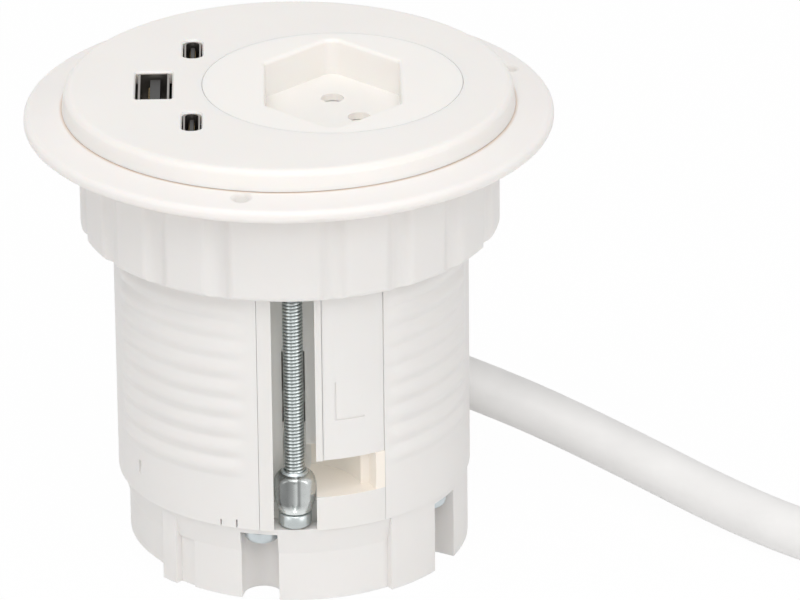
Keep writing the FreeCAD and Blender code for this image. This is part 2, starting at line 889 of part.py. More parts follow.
def claw_arm():
    """The arm of the claw, parked inwards, with its biting tooth on the tip."""
    root = claw_radius - claw_wall / 2 - screw_circle
    tip = arm_reach - screw_circle
    shape = [
        (root, arm_bottom),
        (tip - arm_rise, arm_bottom),
        (tip, claw_top - tooth_height),
        (tip, tooth_top),
        (tip - tooth_length / 2, claw_top + tooth_height / 3),
        (tip - tooth_length, claw_top - claw_round),
        (root, claw_top - claw_round),
    ]
    points = [Vector(-arm_width / 2, y, z) for y, z in shape]
    face = Part.Face(Part.makePolygon(points + [points[0]]))
    return face.extrude(Vector(arm_width, 0, 0))


def claw_mouth():
    """The oval opening in the front of the claw's cup."""
    oval = Part.Wire(Part.Ellipse(origin, claw_mouth_height, claw_mouth_half).toShape())
    face = Part.Face(oval)
    face.rotate(origin, Vector(0, 1, 0), 90)
    face.rotate(origin, up, 90)
    face.translate(Vector(0, -screw_circle, claw_top))
    return face.extrude(Vector(0, -2 * claw_radius, 0))


def claw():
    """The claw: a cup open to the front, with a collar for the bush, and its arm behind."""
    swell = claw_bottom + claw_swell
    shoulder = claw_top - claw_round
    bend = claw_round * (1 - math.sqrt(0.5))
    cup = turned([
        (0, claw_bottom),
        (claw_foot, claw_bottom),
        (claw_radius, swell),
        (claw_radius, shoulder),
        (claw_radius - bend, claw_top - bend),
        (claw_radius - claw_round, claw_top),
        (0, claw_top),
    ])
    floor = claw_bottom + claw_floor
    inner = claw_radius - claw_wall
    hollow = turned([
        (0, floor),
        (claw_foot - claw_wall / 2, floor),
        (inner, swell),
        (inner, claw_top + 1),
        (0, claw_top + 1),
    ])
    for piece in (cup, hollow):
        piece.translate(screw_axis)
    bush_seat = claw_top + bush_stand - bush_height
    collar = disc(inner + claw_wall / 2, bush_seat - claw_collar_height, shoulder, screw_axis)
    front = -screw_circle - bush_radius - claw_collar_wall
    collar = collar.cut(block((-claw_radius, -shell_radius - 1, 0), (claw_radius, front, claw_top)))
    body = cup.cut([hollow, claw_mouth()]).fuse([collar, claw_arm()])
    body = body.cut(disc(screw_radius + running_gap, claw_bottom - 1, claw_top + 1, screw_axis))
    return body.cut(disc(bush_radius + running_gap, bush_seat - running_gap, claw_top + 1, screw_axis))


# Cover disc and socket insert
def port_opening(width, length, corner, centre):
    """A bevelled opening in the cover for one port."""
    inner = rounded_plate(width, length, corner, port_board_top, disc_top + 1, centre)
    wide, long = width + 2 * port_bevel, length + 2 * port_bevel
    lower = rounded_plate(width, length, corner, port_board_top, port_face, centre)
    upper = rounded_plate(wide, long, corner + port_bevel, port_board_top, disc_top, centre)
    outlines = [max(plate.Faces, key=lambda f: f.CenterOfMass.z).OuterWire for plate in (lower, upper)]
    return inner.fuse(Part.makeLoft(outlines, True, True))


def port_sizes():
    """Outer width, length and corner of each port, with its place and the gap beside it."""
    a_width = usb_a_opening_width + 2 * usb_a_wall
    a_length = usb_a_opening_length + 2 * usb_a_wall
    c_width = usb_c_opening_width + 2 * usb_c_wall
    c_length = usb_c_opening_length + 2 * usb_c_wall
    sizes = [(a_width, a_length, usb_a_wall, (-port_circle, 0), usb_a_gap)]
    turn = math.radians(usb_c_angle)
    for side in (1, -1):
        place = (-port_circle * math.cos(turn), side * port_circle * math.sin(turn))
        sizes.append((c_width, c_length, c_width / 2 - port_clearance, place, usb_c_gap))
    return sizes


def cover_disc():
    """The round cover with its rim, locating ring and openings."""
    outline = [
        (0, disc_top),
        (disc_radius - disc_flare, disc_top),
        (disc_radius, disc_seat),
        (disc_radius - disc_rim_wall, disc_seat),
        (disc_radius - disc_rim_wall, plate_under),
        (shell_inner + locating_ring_wall, plate_under),
        (shell_inner + locating_ring_wall, disc_seat - fit_gap),
        (shell_inner, disc_seat - fit_gap),
        (shell_inner, plate_under),
        (0, plate_under),
    ]
    solid = soften(turned(outline), disc_edge_round, disc_radius - disc_flare, disc_top)
    solid = solid.cut(disc(insert_radius + seam_gap, disc_seat - 1, disc_top + 1, socket_centre))
    for width, length, corner, place, gap in port_sizes():
        wide, long = width + 2 * gap, length + 2 * port_end_gap
        solid = solid.cut(port_opening(wide, long, corner + port_end_gap, place))
    return solid


def is_mouth_edge(edge):
    """Whether an edge lies on the rim of the hexagonal recess."""
    box = edge.BoundBox
    return abs(box.ZMin - disc_top) < 1e-6 and abs(box.ZMax - disc_top) < 1e-6 and box.XLength < insert_radius


def socket_insert():
    """The round insert with the hexagonal recess and its pin holes."""
    plate = disc(insert_radius, plate_under, disc_top, socket_centre)
    lip = disc(insert_radius + insert_lip, plate_under - insert_lip_height, plate_under, socket_centre)
    clear = channel_floor - channel_back_wall - part_gap
    lip = lip.common(disc(chassis_inner - part_gap, plate_under - insert_lip_height, plate_under))
    lip = lip.common(block((-disc_radius, -clear, 0), (disc_radius, clear, plate_under)))
    cup = hexagon(hex_wall, insert_under, plate_under)
    solid = plate.fuse([lip, cup])
    solid = solid.cut(hexagon(0, disc_top - hex_depth, disc_top + 1))
    mouth = [e for e in solid.Edges if is_mouth_edge(e)]
    solid = solid.makeFillet(hex_rim_round, mouth)
    room = block((shutter_left, -shutter_half, insert_under - 1), (shutter_right, shutter_half, shutter_top))
    solid = solid.cut(room)
    for x, y in contact_places.values():
        solid = solid.cut(disc(pin_hole, insert_under - 1, disc_top, Vector(x, y, 0)))
    grip_end = insert_under + carrier_screw_grip
    for side in (-1, 1):
        centre = Vector(insert_offset, side * carrier_screw_spacing / 2, 0)
        solid = solid.cut(disc(carrier_screw_radius, insert_under - 1, grip_end, centre))
    return solid


# Contacts, carrier, shutter and terminals
def contact(place):
    """One spring sleeve with its stem, bored for a round pin."""
    centre = Vector(place[0], place[1], 0)
    top = carrier_top - shutter_space
    low = top - contact_length
    sleeve = ring(contact_bore + contact_wall, contact_bore, low, top, centre)
    floor = disc(contact_bore + contact_wall, low, low + contact_wall, centre)
    stem = disc(stem_radius, stem_end, low, centre)
    half = contact_wall / 2
    reach = contact_bore + 1
    slit = block((-half, -reach, low + 3 * contact_wall), (half, reach, top + 1))
    slit.translate(centre)
    return sleeve.cut(slit).fuse([floor, stem])


def contact_carrier():
    """The insulating block that holds the three contacts."""
    left, right = insert_offset - carrier_width / 2, insert_offset + carrier_width / 2
    half_l = carrier_length / 2
    solid = block((left, -half_l, carrier_bottom), (right, half_l, carrier_top))
    low = carrier_top - shutter_space
    room = block((shutter_left, -shutter_half, low), (shutter_right, shutter_half, carrier_top + 1))
    solid = solid.cut(room)
    for x, y in contact_places.values():
        centre = Vector(x, y, 0)
        low = carrier_top - shutter_space - contact_length
        solid = solid.cut(disc(contact_bore + contact_wall, low, carrier_top + 1, centre))
        solid = solid.cut(disc(stem_radius, carrier_bottom - 1, low + 1, centre))
    for side in (-1, 1):
        centre = Vector(insert_offset, side * carrier_screw_spacing / 2, 0)
        solid = solid.cut(disc(carrier_screw_radius, carrier_bottom - 1, carrier_top + 1, centre))
    return solid


def pin_shutter():
    """The sliding plate behind the pin holes; its own holes stand beside them until it slides."""
    high = shutter_top - shutter_room
    low = high - shutter_thickness
    half_w = shutter_width / 2
    half_l = shutter_length / 2
    plate = block((insert_offset - half_w, -half_l, low), (insert_offset + half_w, half_l, high))
    for x, y in contact_places.values():
        plate = plate.cut(disc(pin_hole, low - 1, high + 1, Vector(x - shutter_travel, y, 0)))
    return plate


def carrier_screw(side):
    """One screw that holds the carrier to the insert, from below."""
    centre = Vector(insert_offset, side * carrier_screw_spacing / 2, 0)
    shank = disc(carrier_screw_radius, carrier_bottom, insert_under + carrier_screw_grip, centre)
    head = disc(carrier_screw_head, carrier_bottom - carrier_screw_head_height, carrier_bottom, centre)
    return shank.fuse(head)


def terminal_block():
    """The block under the carrier where the cord's wires are clamped."""
    left, right = insert_offset - block_width / 2, insert_offset + block_width / 2
    half_l = block_length / 2
    solid = block((left, -half_l, block_bottom), (right, half_l, carrier_bottom))
    for x, y in contact_places.values():
        solid = solid.cut(disc(stem_radius, stem_end, carrier_bottom + 1, Vector(x, y, 0)))
    for screw in terminal_screws():
        solid = solid.cut(screw)
    return solid


def terminal_screws():
    """The three wire clamping screws on the block's side."""
    side = insert_offset + block_width / 2
    level = (block_bottom + stem_end) / 2
    screws = []
    for x, y in contact_places.values():
        outward = Vector(1, 0, 0)
        inner = Vector(side - terminal_screw_length, y, level)
        shank = Part.makeCylinder(terminal_screw_shank, terminal_screw_length, inner, outward)
        head = Part.makeCylinder(terminal_screw_radius, terminal_screw_head, Vector(side, y, level), outward)
        screws.append(shank.fuse(head))
    return screws


# Charging ports and electronics
def port_shell(width, length, wall, corner, place):
    """The sheet-metal sleeve of one port, closed at its base."""
    outer = rounded_plate(width, length, corner, port_board_top, port_face, place)
    inner_corner = max(corner - wall, wall / 4)
    inner_width, inner_length = width - 2 * wall, length - 2 * wall
    floor = port_board_top + wall
    inner = rounded_plate(inner_width, inner_length, inner_corner, floor, port_face + 1, place)
    return outer.cut(inner)


def port_tongue(width, length, shift, wall, place):
    """The contact tongue of one port, standing on a wider base."""
    x, y = place[0] + shift, place[1]
    low = port_board_top + wall
    front, back = y - length / 2, y + length / 2
    blade = block((x - width / 2, front, low), (x + width / 2, back, port_face - tongue_drop))
    half = width / 2 + wall / 2
    base = block((x - half, front, low), (x + half, back, low + tongue_base))
    return blade.fuse(base)


def port_board():
    """The level circuit board under the ports."""
    half = port_board_width / 2
    plate = block((-chassis_inner, -half, port_board_bottom), (port_board_edge, half, port_board_top))
    return plate.common(disc(chassis_inner - part_gap, port_board_bottom, port_board_top))


def charger_board():
    """The upright circuit board of the charger."""
    half = charger_board_width / 2
    bottom = charger_board_bottom + board_thickness
    return block((charger_face, -half, bottom), (port_board_edge, half, port_board_bottom))


def transformer():
    """The transformer on the charger board: a coil former between core halves."""
    back = charger_face - transformer_depth
    half = transformer_width / 2
    top = transformer_level + transformer_height
    former = block((back, -half, transformer_level), (charger_face, half, top))
    aside = core_inset * transformer_depth
    core_low = (back + aside, -half - core_overhang, transformer_level + core_inset * transformer_height)
    core_high = (charger_face - aside, half + core_overhang, top - core_inset * transformer_height)
    return former.fuse(block(core_low, core_high))


def capacitors():
    """The two round capacitors on the charger board."""
    places = [Vector(charger_face, 0, level) for level in (capacitor_low, capacitor_high)]
    inwards = Vector(-1, 0, 0)
    return [Part.makeCylinder(capacitor_radius, capacitor_length, place, inwards) for place in places]


def chips():
    """The flat control chips on the other face of the charger board."""
    half = chip_width / 2
    levels = [chip_low + number * chip_spacing for number in range(chip_count)]
    return [
        block((port_board_edge, -half, level), (port_board_edge + chip_depth, half, level + chip_height))
        for level in levels
    ]


def charger_leads():
    """The two short leads from the terminal block to the charger board."""
    start = port_board_edge
    length = insert_offset - block_width / 2 - start
    return [
        Part.makeCylinder(lead_radius, length, Vector(start, 0, level), Vector(1, 0, 0))
        for level in (lead_level, lead_level + lead_spacing)
    ]


# Cord, gland, internal strap and wires
def cord_gland():
    """The rubber sleeve that lines the cord's exit."""
    sleeve = cord_cylinder(gland_radius, gland_length, 0)
    return sleeve.cut(cord_cylinder(cord_radius, gland_length + 1, -1))


def strap_space():
    """The room for the strap, cut out of the cradle's upper half."""
    middle = along_cord(strap_back + strap_length / 2)
    half = strap_length / 2 + part_gap
    tall = block((-half, -3 * boss_radius, 0), (half, 3 * boss_radius, 3 * boss_radius))
    tall.rotate(origin, Vector(0, 1, 0), cord_pitch)
    tall.rotate(origin, up, cord_heading)
    tall.translate(middle)
    return tall


def cord_strap():
    """The saddle that grips the cord inside, with one ear on the inner side."""
    outer = cord_radius + strap_thickness
    half = strap_length / 2
    saddle = Part.makeCylinder(outer, strap_length, Vector(-half, 0, 0), Vector(1, 0, 0))
    ear = block((-half, -outer - strap_ear, 0), (half, 0, strap_thickness))
    upper = block((-half - 1, -3 * outer, 0), (half + 1, 3 * outer, 3 * outer))
    solid = saddle.common(upper).fuse(ear)
    bore = Part.makeCylinder(cord_radius, strap_length + 2, Vector(-half - 1, 0, 0), Vector(1, 0, 0))
    return solid.cut(bore)


def strap_screw():
    """The screw through the strap's ear into the foot under it."""
    place = -cord_radius - strap_thickness - strap_ear / 2
    length = strap_thickness + strap_ear
    shank = Part.makeCylinder(strap_screw_radius, length, Vector(0, place, -strap_ear), up)
    head = Part.makeCylinder(strap_screw_head, strap_screw_radius, Vector(0, place, strap_thickness), up)
    return shank.fuse(head)


def strap_foot():
    """The foot of the chassis under the strap's ear, joined to the cord's boss."""
    outer = cord_radius + strap_thickness
    half = strap_length / 2
    low = (-half, -outer - strap_ear, -strap_ear - strap_thickness)
    return block(low, (half, -cord_radius - strap_thickness / 2, 0))


def on_cord(shape):
    """Moves a piece made at the origin to the strap's place on the cord."""
    shape.rotate(origin, Vector(0, 1, 0), cord_pitch)
    shape.rotate(origin, up, cord_heading)
    shape.translate(along_cord(strap_back + strap_length / 2))
    return shape


def wire_route(number, place):
    """The points of one insulated wire, from the cord's inner end to its terminal."""
    turn = math.radians(wire_first_turn - 360 / len(contact_places) * number)
    lift = wire_lift + wire_lift_step * (0, 1, -1)[number]
    level = wire_level - wire_level_step * (0, 1, 0)[number]
    side = Vector(-cord_axis.y, cord_axis.x, 0).normalize()
    over = cord_axis.cross(side)
    aside = side * math.cos(turn) + over * math.sin(turn)
    start = along_cord(cord_tail) + aside * wire_circle
    below = Vector(place[0], place[1], level)
    end = Vector(place[0], place[1], block_bottom)
    return [start, start - cord_axis * lift, below, end]


# Connector on the cord's end
def in_line(shape):
    """Moves a piece made along +X from the origin to the cord's end."""
    direction = cord_points[-1] - cord_points[-2]
    shape.rotate(origin, up, math.degrees(math.atan2(direction.y, direction.x)))
    shape.translate(cord_points[-1])
    return shape


def connector_body():
    """The connector's shell with its open mouth."""
    half = connector_width / 2
    low = -cord_end_level
    high = low + connector_height
    solid = block((body_start, -half, low), (body_end, half, high))
    long_edges = [e for e in solid.Edges if abs(e.BoundBox.XLength - connector_length) < 1e-6]
    solid = solid.makeFillet(connector_corner, long_edges)
    mouth = block(
        (body_end - connector_mouth, -half + connector_wall, low + connector_wall),
        (body_end + 1, half - connector_wall, high - connector_wall),
    )
    mouth_edges = [e for e in mouth.Edges if abs(e.BoundBox.XLength - connector_mouth - 1) < 1e-6]
    mouth = mouth.makeFillet(connector_corner - connector_wall, mouth_edges)
    return solid.cut(mouth)


def connector_pins():
    """The three contact pins inside the connector's mouth."""
    start = body_end - connector_mouth
    pins = []
    for side in (-1, 0, 1):
        root = Vector(start, side * connector_pin_spacing, connector_axis)
        pins.append(Part.makeCylinder(connector_pin_radius, connector_pin_length, root, Vector(1, 0, 0)))
    return pins


def connector_relief():
    """The tapered sleeve where the cord enters the connector."""
    tip = cord_radius + relief_tip_wall
    full = min(cord_radius + relief_wall, connector_height / 2)
    low = -cord_end_level
    solid = Part.makeCone(tip, full, relief_length, origin, Vector(1, 0, 0))
    above = block((-1, -2 * full, low), (relief_length + 1, 2 * full, 2 * full))
    return solid.common(above)


def main():
    os.makedirs("parts", exist_ok=True)
    save("cover_disc", cover_disc())
    save("socket_insert", socket_insert())
    save("contact_carrier", contact_carrier())
    save("pin_shutter", pin_shutter())
    for name, place in contact_places.items():
        save(name + "_contact", contact(place))
    save("carrier_screws", [carrier_screw(side) for side in (-1, 1)])
    save("terminal_block", terminal_block())
    save("terminal_screws", terminal_screws())

    ports = port_sizes()
    small = (usb_c_wall, usb_c_tongue_width, usb_c_tongue_length, 0)
    inner_sizes = {
        "usb_a": (usb_a_wall, usb_a_tongue_width, usb_a_tongue_length, usb_a_tongue_shift),
        "usb_c_back": small,
        "usb_c_front": small,
    }
    for port, (name, sizes) in zip(ports, inner_sizes.items()):
        width, length, corner, place = port[:4]
        wall, tongue_width, tongue_length, shift = sizes
        save(name + "_shell", port_shell(width, length, wall, corner, place))
        save(name + "_tongue", port_tongue(tongue_width, tongue_length, shift, wall, place))
    save("port_board", port_board())
    save("charger_board", charger_board())
    save("charger_transformer", transformer())
    save("charger_capacitors", capacitors())
    save("charger_chips", chips())
    save("charger_leads", charger_leads())

    foot = on_cord(strap_foot())
    screw = on_cord(strap_screw())
    inside = disc(chassis_radius, cap_height, plate_under)
    frame = chassis().fuse(foot.common(inside)).cut(cord_cylinder(cord_radius + fit_gap, cord_tail + 2, -1))
    save("chassis", frame.cut(screw))
    room = disc(chassis_inner - part_gap, cap_height, plate_under)
    save("cord_strap", on_cord(cord_strap()).cut(screw).common(room))
    save("cord_strap_screw", screw)
    save("thread_shell_left", thread_shell(0))
    save("thread_shell_right", thread_shell(180))
    save("side_panel_front", side_panel())
    save("side_panel_back", half_turn(side_panel()))
    save("bottom_cap", bottom_cap())
    save("cap_screws", [cap_screw(angle) for angle in cap_screw_angles])

    save("flange", flange())
    save("slip_washer", slip_washer())
    save("ring_nut", ring_nut())
    pieces = {
        "clamp_screw": clamp_screw(),
        "retaining_clip": retaining_clip(),
        "clamp_bush": clamp_bush(),
        "clamp_claw": claw(),
    }
    for name, shape in pieces.items():
        save(name + "_front", shape)
        save(name + "_back", half_turn(shape))

    save("cord_gland", cord_gland())
    save("cord_tail", cord_cylinder(cord_radius, cord_tail, 0))
    tube, length = tube_along(cord_points, cord_radius)
    save("cord", tube)
    for number, (name, place) in enumerate(contact_places.items()):
        wire, wire_length = tube_along(wire_route(number, place), wire_radius)
        save(name + "_wire", wire)
    save("connector_relief", in_line(connector_relief()))
    save("connector_body", in_line(connector_body()))
    save("connector_pins", [in_line(pin) for pin in connector_pins()])

    radii = [turn_radius(a, b, c)[0] for a, b, c in zip(cord_points, cord_points[1:], cord_points[2:])]
    share = tube.Volume / (length * math.pi * cord_radius**2)
    print("cord length", round(length, 1), "volume share", round(share, 4))
    print("cord radii", [round(r, 1) for r in radii])
    print("nut travel", nut_travel, "claw travel", round(claw_travel, 3))


main()
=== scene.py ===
import json
import math

import bmesh
import bpy
from mathutils import Matrix, Vector


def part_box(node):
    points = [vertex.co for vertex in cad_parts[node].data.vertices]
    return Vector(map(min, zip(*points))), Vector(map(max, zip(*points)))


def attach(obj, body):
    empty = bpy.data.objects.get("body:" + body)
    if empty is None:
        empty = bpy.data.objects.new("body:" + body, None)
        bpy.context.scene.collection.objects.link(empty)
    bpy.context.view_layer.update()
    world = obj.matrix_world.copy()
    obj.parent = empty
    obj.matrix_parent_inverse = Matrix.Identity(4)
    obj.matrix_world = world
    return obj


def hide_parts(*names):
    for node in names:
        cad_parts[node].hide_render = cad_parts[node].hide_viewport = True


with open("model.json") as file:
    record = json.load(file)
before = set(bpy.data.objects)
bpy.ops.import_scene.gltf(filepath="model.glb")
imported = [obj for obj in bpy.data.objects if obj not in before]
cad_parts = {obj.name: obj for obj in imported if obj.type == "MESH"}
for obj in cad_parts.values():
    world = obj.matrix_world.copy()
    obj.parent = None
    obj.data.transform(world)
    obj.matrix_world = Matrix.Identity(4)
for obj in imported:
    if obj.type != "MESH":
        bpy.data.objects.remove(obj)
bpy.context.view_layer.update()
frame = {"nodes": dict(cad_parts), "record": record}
nodes = frame["nodes"]
print("frame loaded with", len(nodes), "nodes")

mm = 0.001

# camera: fitted to the ellipses of the cover, flange and cap
cameraSpec = {
    "distance": 1.3964,
    "elevation": 22.714,
    "roll": -0.921,
    "aimHeight": 0.087,
    "aimPixel": (288.92, 115.89),
    "focalPixels": 7330.0,
    "imageSize": (800, 600),
    "sensorWidth": 36.0,
    "clip": (0.05, 20),
}


def turnPair(first, second, angle):
    # two directions at right angles, turned in their own plane
    cosine, sine = math.cos(angle), math.sin(angle)
    return first * cosine + second * sine, second * cosine - first * sine


def makeCamera(spec):
    tilt = math.radians(spec["elevation"])
    outward = Vector((0, -math.cos(tilt), math.sin(tilt)))
    place = Vector((0, 0, spec["aimHeight"])) + outward * spec["distance"]
    forward = -outward
    right = Vector((1, 0, 0))
    above = right.cross(forward)
    right, above = turnPair(right, above, math.radians(spec["roll"]))
    width, height = spec["imageSize"]
    aside = math.atan((spec["aimPixel"][0] - width / 2) / spec["focalPixels"])
    lift = math.atan((height / 2 - spec["aimPixel"][1]) / spec["focalPixels"])
    forward, right = turnPair(forward, right, -aside)
    forward, above = turnPair(forward, above, -lift)
    data = bpy.data.cameras.new("camera")
    data.sensor_width = spec["sensorWidth"]
    data.lens = spec["focalPixels"] / width * spec["sensorWidth"]
    data.clip_start, data.clip_end = spec["clip"]
    camera = bpy.data.objects.new("camera", data)
    turn = Matrix((right, above, -forward)).transposed().to_4x4()
    camera.matrix_world = Matrix.Translation(place) @ turn
    bpy.context.scene.collection.objects.link(camera)
    bpy.context.scene.camera = camera


# floor and lights: plain and soft, with a white ground for the camera
studioSpec = {
    "floorSize": 3.0,
    "floorColor": (0.90, 0.90, 0.90),
    "whiteShare": 0.98,
    "worldLight": 0.53,
    "lampAim": (0.03, 0, 0.05),
    "lamps": {
        "top": {"place": (-0.10, -0.30, 0.95), "size": 0.8, "power": 3.2},
        "left": {"place": (-0.80, -0.75, 0.40), "size": 0.6, "power": 1.3},
        "right": {"place": (0.80, -0.80, 0.35), "size": 0.7, "power": 2.0},
        "front": {"place": (0.10, -1.05, 0.90), "size": 0.5, "power": 2.7},
    },
}


def feed(tree, socket, value):
    # a constant, or what another node gives
    if isinstance(value, bpy.types.NodeSocket):
        tree.links.new(value, socket)
    else:
        socket.default_value = value


def mathNode(tree, operation, a, b=0.0, c=0.0):
    node = tree.nodes.new("ShaderNodeMath")
    node.operation = operation
    for socket, value in zip(node.inputs, (a, b, c)):
        feed(tree, socket, value)
    return node.outputs[0]


def seenDirectly(tree):
    # camera, mirror and glass rays all find the white ground
    path = tree.nodes.new("ShaderNodeLightPath")
    first = mathNode(tree, "MAXIMUM", path.outputs["Is Camera Ray"], path.outputs["Is Glossy Ray"])
    return mathNode(tree, "MAXIMUM", first, path.outputs["Is Transmission Ray"])


def mixShaders(tree, outputKind, share, plain, seen):
    output = tree.nodes.new(outputKind)
    mix = tree.nodes.new("ShaderNodeMixShader")
    for socket, source in zip(mix.inputs, (share, plain.outputs[0], seen.outputs[0])):
        tree.links.new(source, socket)
    tree.links.new(mix.outputs[0], output.inputs[0])


def makeFloor(spec):
    half = spec["floorSize"] / 2
    corners = [(-half, -half, 0), (half, -half, 0), (half, half, 0), (-half, half, 0)]
    mesh = bpy.data.meshes.new("floor")
    mesh.from_pydata(corners, [], [(0, 1, 2, 3)])
    floor = bpy.data.objects.new("floor", mesh)
    bpy.context.scene.collection.objects.link(floor)
    material = bpy.data.materials.new("floorPaper")
    material.use_nodes = True
    tree = material.node_tree
    tree.nodes.clear()
    paper = tree.nodes.new("ShaderNodeBsdfDiffuse")
    paper.inputs["Color"].default_value = (*spec["floorColor"], 1)
    glow = tree.nodes.new("ShaderNodeEmission")
    share = mathNode(tree, "MULTIPLY", seenDirectly(tree), spec["whiteShare"])
    mixShaders(tree, "ShaderNodeOutputMaterial", share, paper, glow)
    mesh.materials.append(material)


def makeWorld(spec):
    world = bpy.data.worlds.new("studio")
    bpy.context.scene.world = world
    world.use_nodes = True
    tree = world.node_tree
    tree.nodes.clear()
    dim = tree.nodes.new("ShaderNodeBackground")
    dim.inputs["Strength"].default_value = spec["worldLight"]
    bright = tree.nodes.new("ShaderNodeBackground")
    for source in (dim, bright):
        source.inputs["Color"].default_value = (1, 1, 1, 1)
    mixShaders(tree, "ShaderNodeOutputWorld", seenDirectly(tree), dim, bright)


def makeLamps(spec):
    for name, lamp in spec["lamps"].items():
        data = bpy.data.lights.new(name + "Lamp", "AREA")
        data.shape = "DISK"
        data.size = lamp["size"]
        data.energy = lamp["power"]
        light = bpy.data.objects.new(name + "Lamp", data)
        light.location = lamp["place"]
        aim = Vector(spec["lampAim"]) - light.location
        light.rotation_euler = aim.to_track_quat("-Z", "Y").to_euler()
        bpy.context.scene.collection.objects.link(light)


makeCamera(cameraSpec)
makeFloor(studioSpec)
makeWorld(studioSpec)
makeLamps(studioSpec)
bpy.context.scene.view_settings.view_transform = "Standard"
print("camera and studio made")


# material helpers
def newMaterial(name):
    material = bpy.data.materials.new(name)
    material.use_nodes = True
    tree = material.node_tree
    return material, tree, tree.nodes["Principled BSDF"]


def objectPlace(tree):
    return tree.nodes.new("ShaderNodeTexCoord").outputs["Object"]


def noiseAt(tree, scale, detail, stretch=(1, 1, 1)):
    spread = tree.nodes.new("ShaderNodeMapping")
    spread.inputs["Scale"].default_value = stretch
    noise = tree.nodes.new("ShaderNodeTexNoise")
    noise.inputs["Scale"].default_value = scale
    noise.inputs["Detail"].default_value = detail
    tree.links.new(objectPlace(tree), spread.inputs["Vector"])
    tree.links.new(spread.outputs["Vector"], noise.inputs["Vector"])
    return noise.outputs["Fac"]


def rampOf(tree, value, stops):
    ramp = tree.nodes.new("ShaderNodeValToRGB")
    while len(ramp.color_ramp.elements) < len(stops):
        ramp.color_ramp.elements.new(0.5)
    for element, (position, color) in zip(ramp.color_ramp.elements, stops):
        element.position = position
        element.color = (*color, 1)
    tree.links.new(value, ramp.inputs["Fac"])
    return ramp.outputs["Color"]


def rangeOf(tree, value, low, high, start=0.0, end=1.0):
    # from low at the start to high at the end, and level beyond them
    spread = tree.nodes.new("ShaderNodeMapRange")
    for socket, limit in (("From Min", start), ("From Max", end), ("To Min", low), ("To Max", high)):
        spread.inputs[socket].default_value = limit
    tree.links.new(value, spread.inputs["Value"])
    return spread.outputs["Result"]


def bumpFrom(tree, shader, height, strength, distance):
    bump = tree.nodes.new("ShaderNodeBump")
    bump.inputs["Strength"].default_value = strength
    bump.inputs["Distance"].default_value = distance
    tree.links.new(height, bump.inputs["Height"])
    tree.links.new(bump.outputs["Normal"], shader.inputs["Normal"])


def shade(color, factor):
    return tuple(min(1.0, part * factor) for part in color)


def splitPlace(tree):
    split = tree.nodes.new("ShaderNodeSeparateXYZ")
    tree.links.new(objectPlace(tree), split.inputs[0])
    return split.outputs["X"], split.outputs["Y"], split.outputs["Z"]


def awayFrom(tree, x, y, centre):
    # distance from an upright line
    aside = mathNode(tree, "SUBTRACT", x, centre[0])
    along = mathNode(tree, "SUBTRACT", y, centre[1])
    square = mathNode(tree, "MULTIPLY_ADD", aside, aside, mathNode(tree, "MULTIPLY", along, along))
    return mathNode(tree, "SQRT", square)


def allOf(tree, *masks):
    # one where every mask is one
    product = masks[0]
    for mask in masks[1:]:
        product = mathNode(tree, "MULTIPLY", product, mask)
    return product


def mixInto(tree, shader, factor, color, blend="MIX"):
    # lays a second colour over the base colour by a mask
    plain = shader.inputs["Base Color"].links[0].from_socket
    mix = tree.nodes.new("ShaderNodeMix")
    mix.data_type = "RGBA"
    mix.blend_type = blend
    under, over = [socket for socket in mix.inputs if socket.type == "RGBA"]
    tree.links.new(factor, mix.inputs["Factor"])
    tree.links.new(plain, under)
    feed(tree, over, (*color, 1) if isinstance(color, tuple) else color)
    mixed = next(socket for socket in mix.outputs if socket.type == "RGBA")
    tree.links.new(mixed, shader.inputs["Base Color"])


# three looks share one builder: moulded plastic, plated metal and soft sheath
plasticLook = {
    "cloudScale": 35, "cloudDetail": 2, "cloudBand": (0.3, 0.7), "cloudShade": 0.975,
    "grainScale": 5200, "grainDetail": 2, "grainStretch": (1, 1, 1), "smoother": 0.06, "rougher": 0.06,
    "bump": 0.12, "bumpHeight": 0.04 * mm, "glow": 0, "glowDepth": 1.5 * mm, "glowColor": (1.0, 0.62, 0.42),
    "sockets": {"IOR": 1.49},
}
metalLook = {
    "cloudScale": 260, "cloudDetail": 4, "cloudBand": (0.35, 0.65), "cloudShade": 0.86,
    "grainScale": 1800, "grainDetail": 3, "grainStretch": (1, 1, 6), "smoother": 0.08, "rougher": 0.10,
    "bump": 0.15, "bumpHeight": 0.03 * mm, "glow": 0, "sockets": {"Metallic": 1.0},
}
sheathLook = {
    "cloudScale": 90, "cloudDetail": 3, "cloudBand": (0.3, 0.7), "cloudShade": 0.95,
    "grainScale": 2600, "grainDetail": 3, "grainStretch": (1, 1, 1), "smoother": 0.07, "rougher": 0.07,
    "bump": 0.2, "bumpHeight": 0.05 * mm, "glow": 0, "sockets": {},
}


def mottledFinish(name, look, spec):
    spec = {**look, **spec}
    material, tree, shader = newMaterial(name)
    cloud = noiseAt(tree, spec["cloudScale"], spec["cloudDetail"])
    shades = (shade(spec["color"], spec["cloudShade"]), spec["color"])
    tree.links.new(rampOf(tree, cloud, list(zip(spec["cloudBand"], shades))), shader.inputs["Base Color"])
    grain = noiseAt(tree, spec["grainScale"], spec["grainDetail"], spec["grainStretch"])
    rough = spec["roughness"]
    roughRange = rangeOf(tree, grain, rough - spec["smoother"], rough + spec["rougher"])
    tree.links.new(roughRange, shader.inputs["Roughness"])
    bumpFrom(tree, shader, grain, spec["bump"], spec["bumpHeight"])
    for socket, value in spec["sockets"].items():
        shader.inputs[socket].default_value = value
    if spec["glow"]:
        shader.inputs["Subsurface Weight"].default_value = spec["glow"]
        shader.inputs["Subsurface Radius"].default_value = spec["glowColor"]
        shader.inputs["Subsurface Scale"].default_value = spec["glowDepth"]
    return material


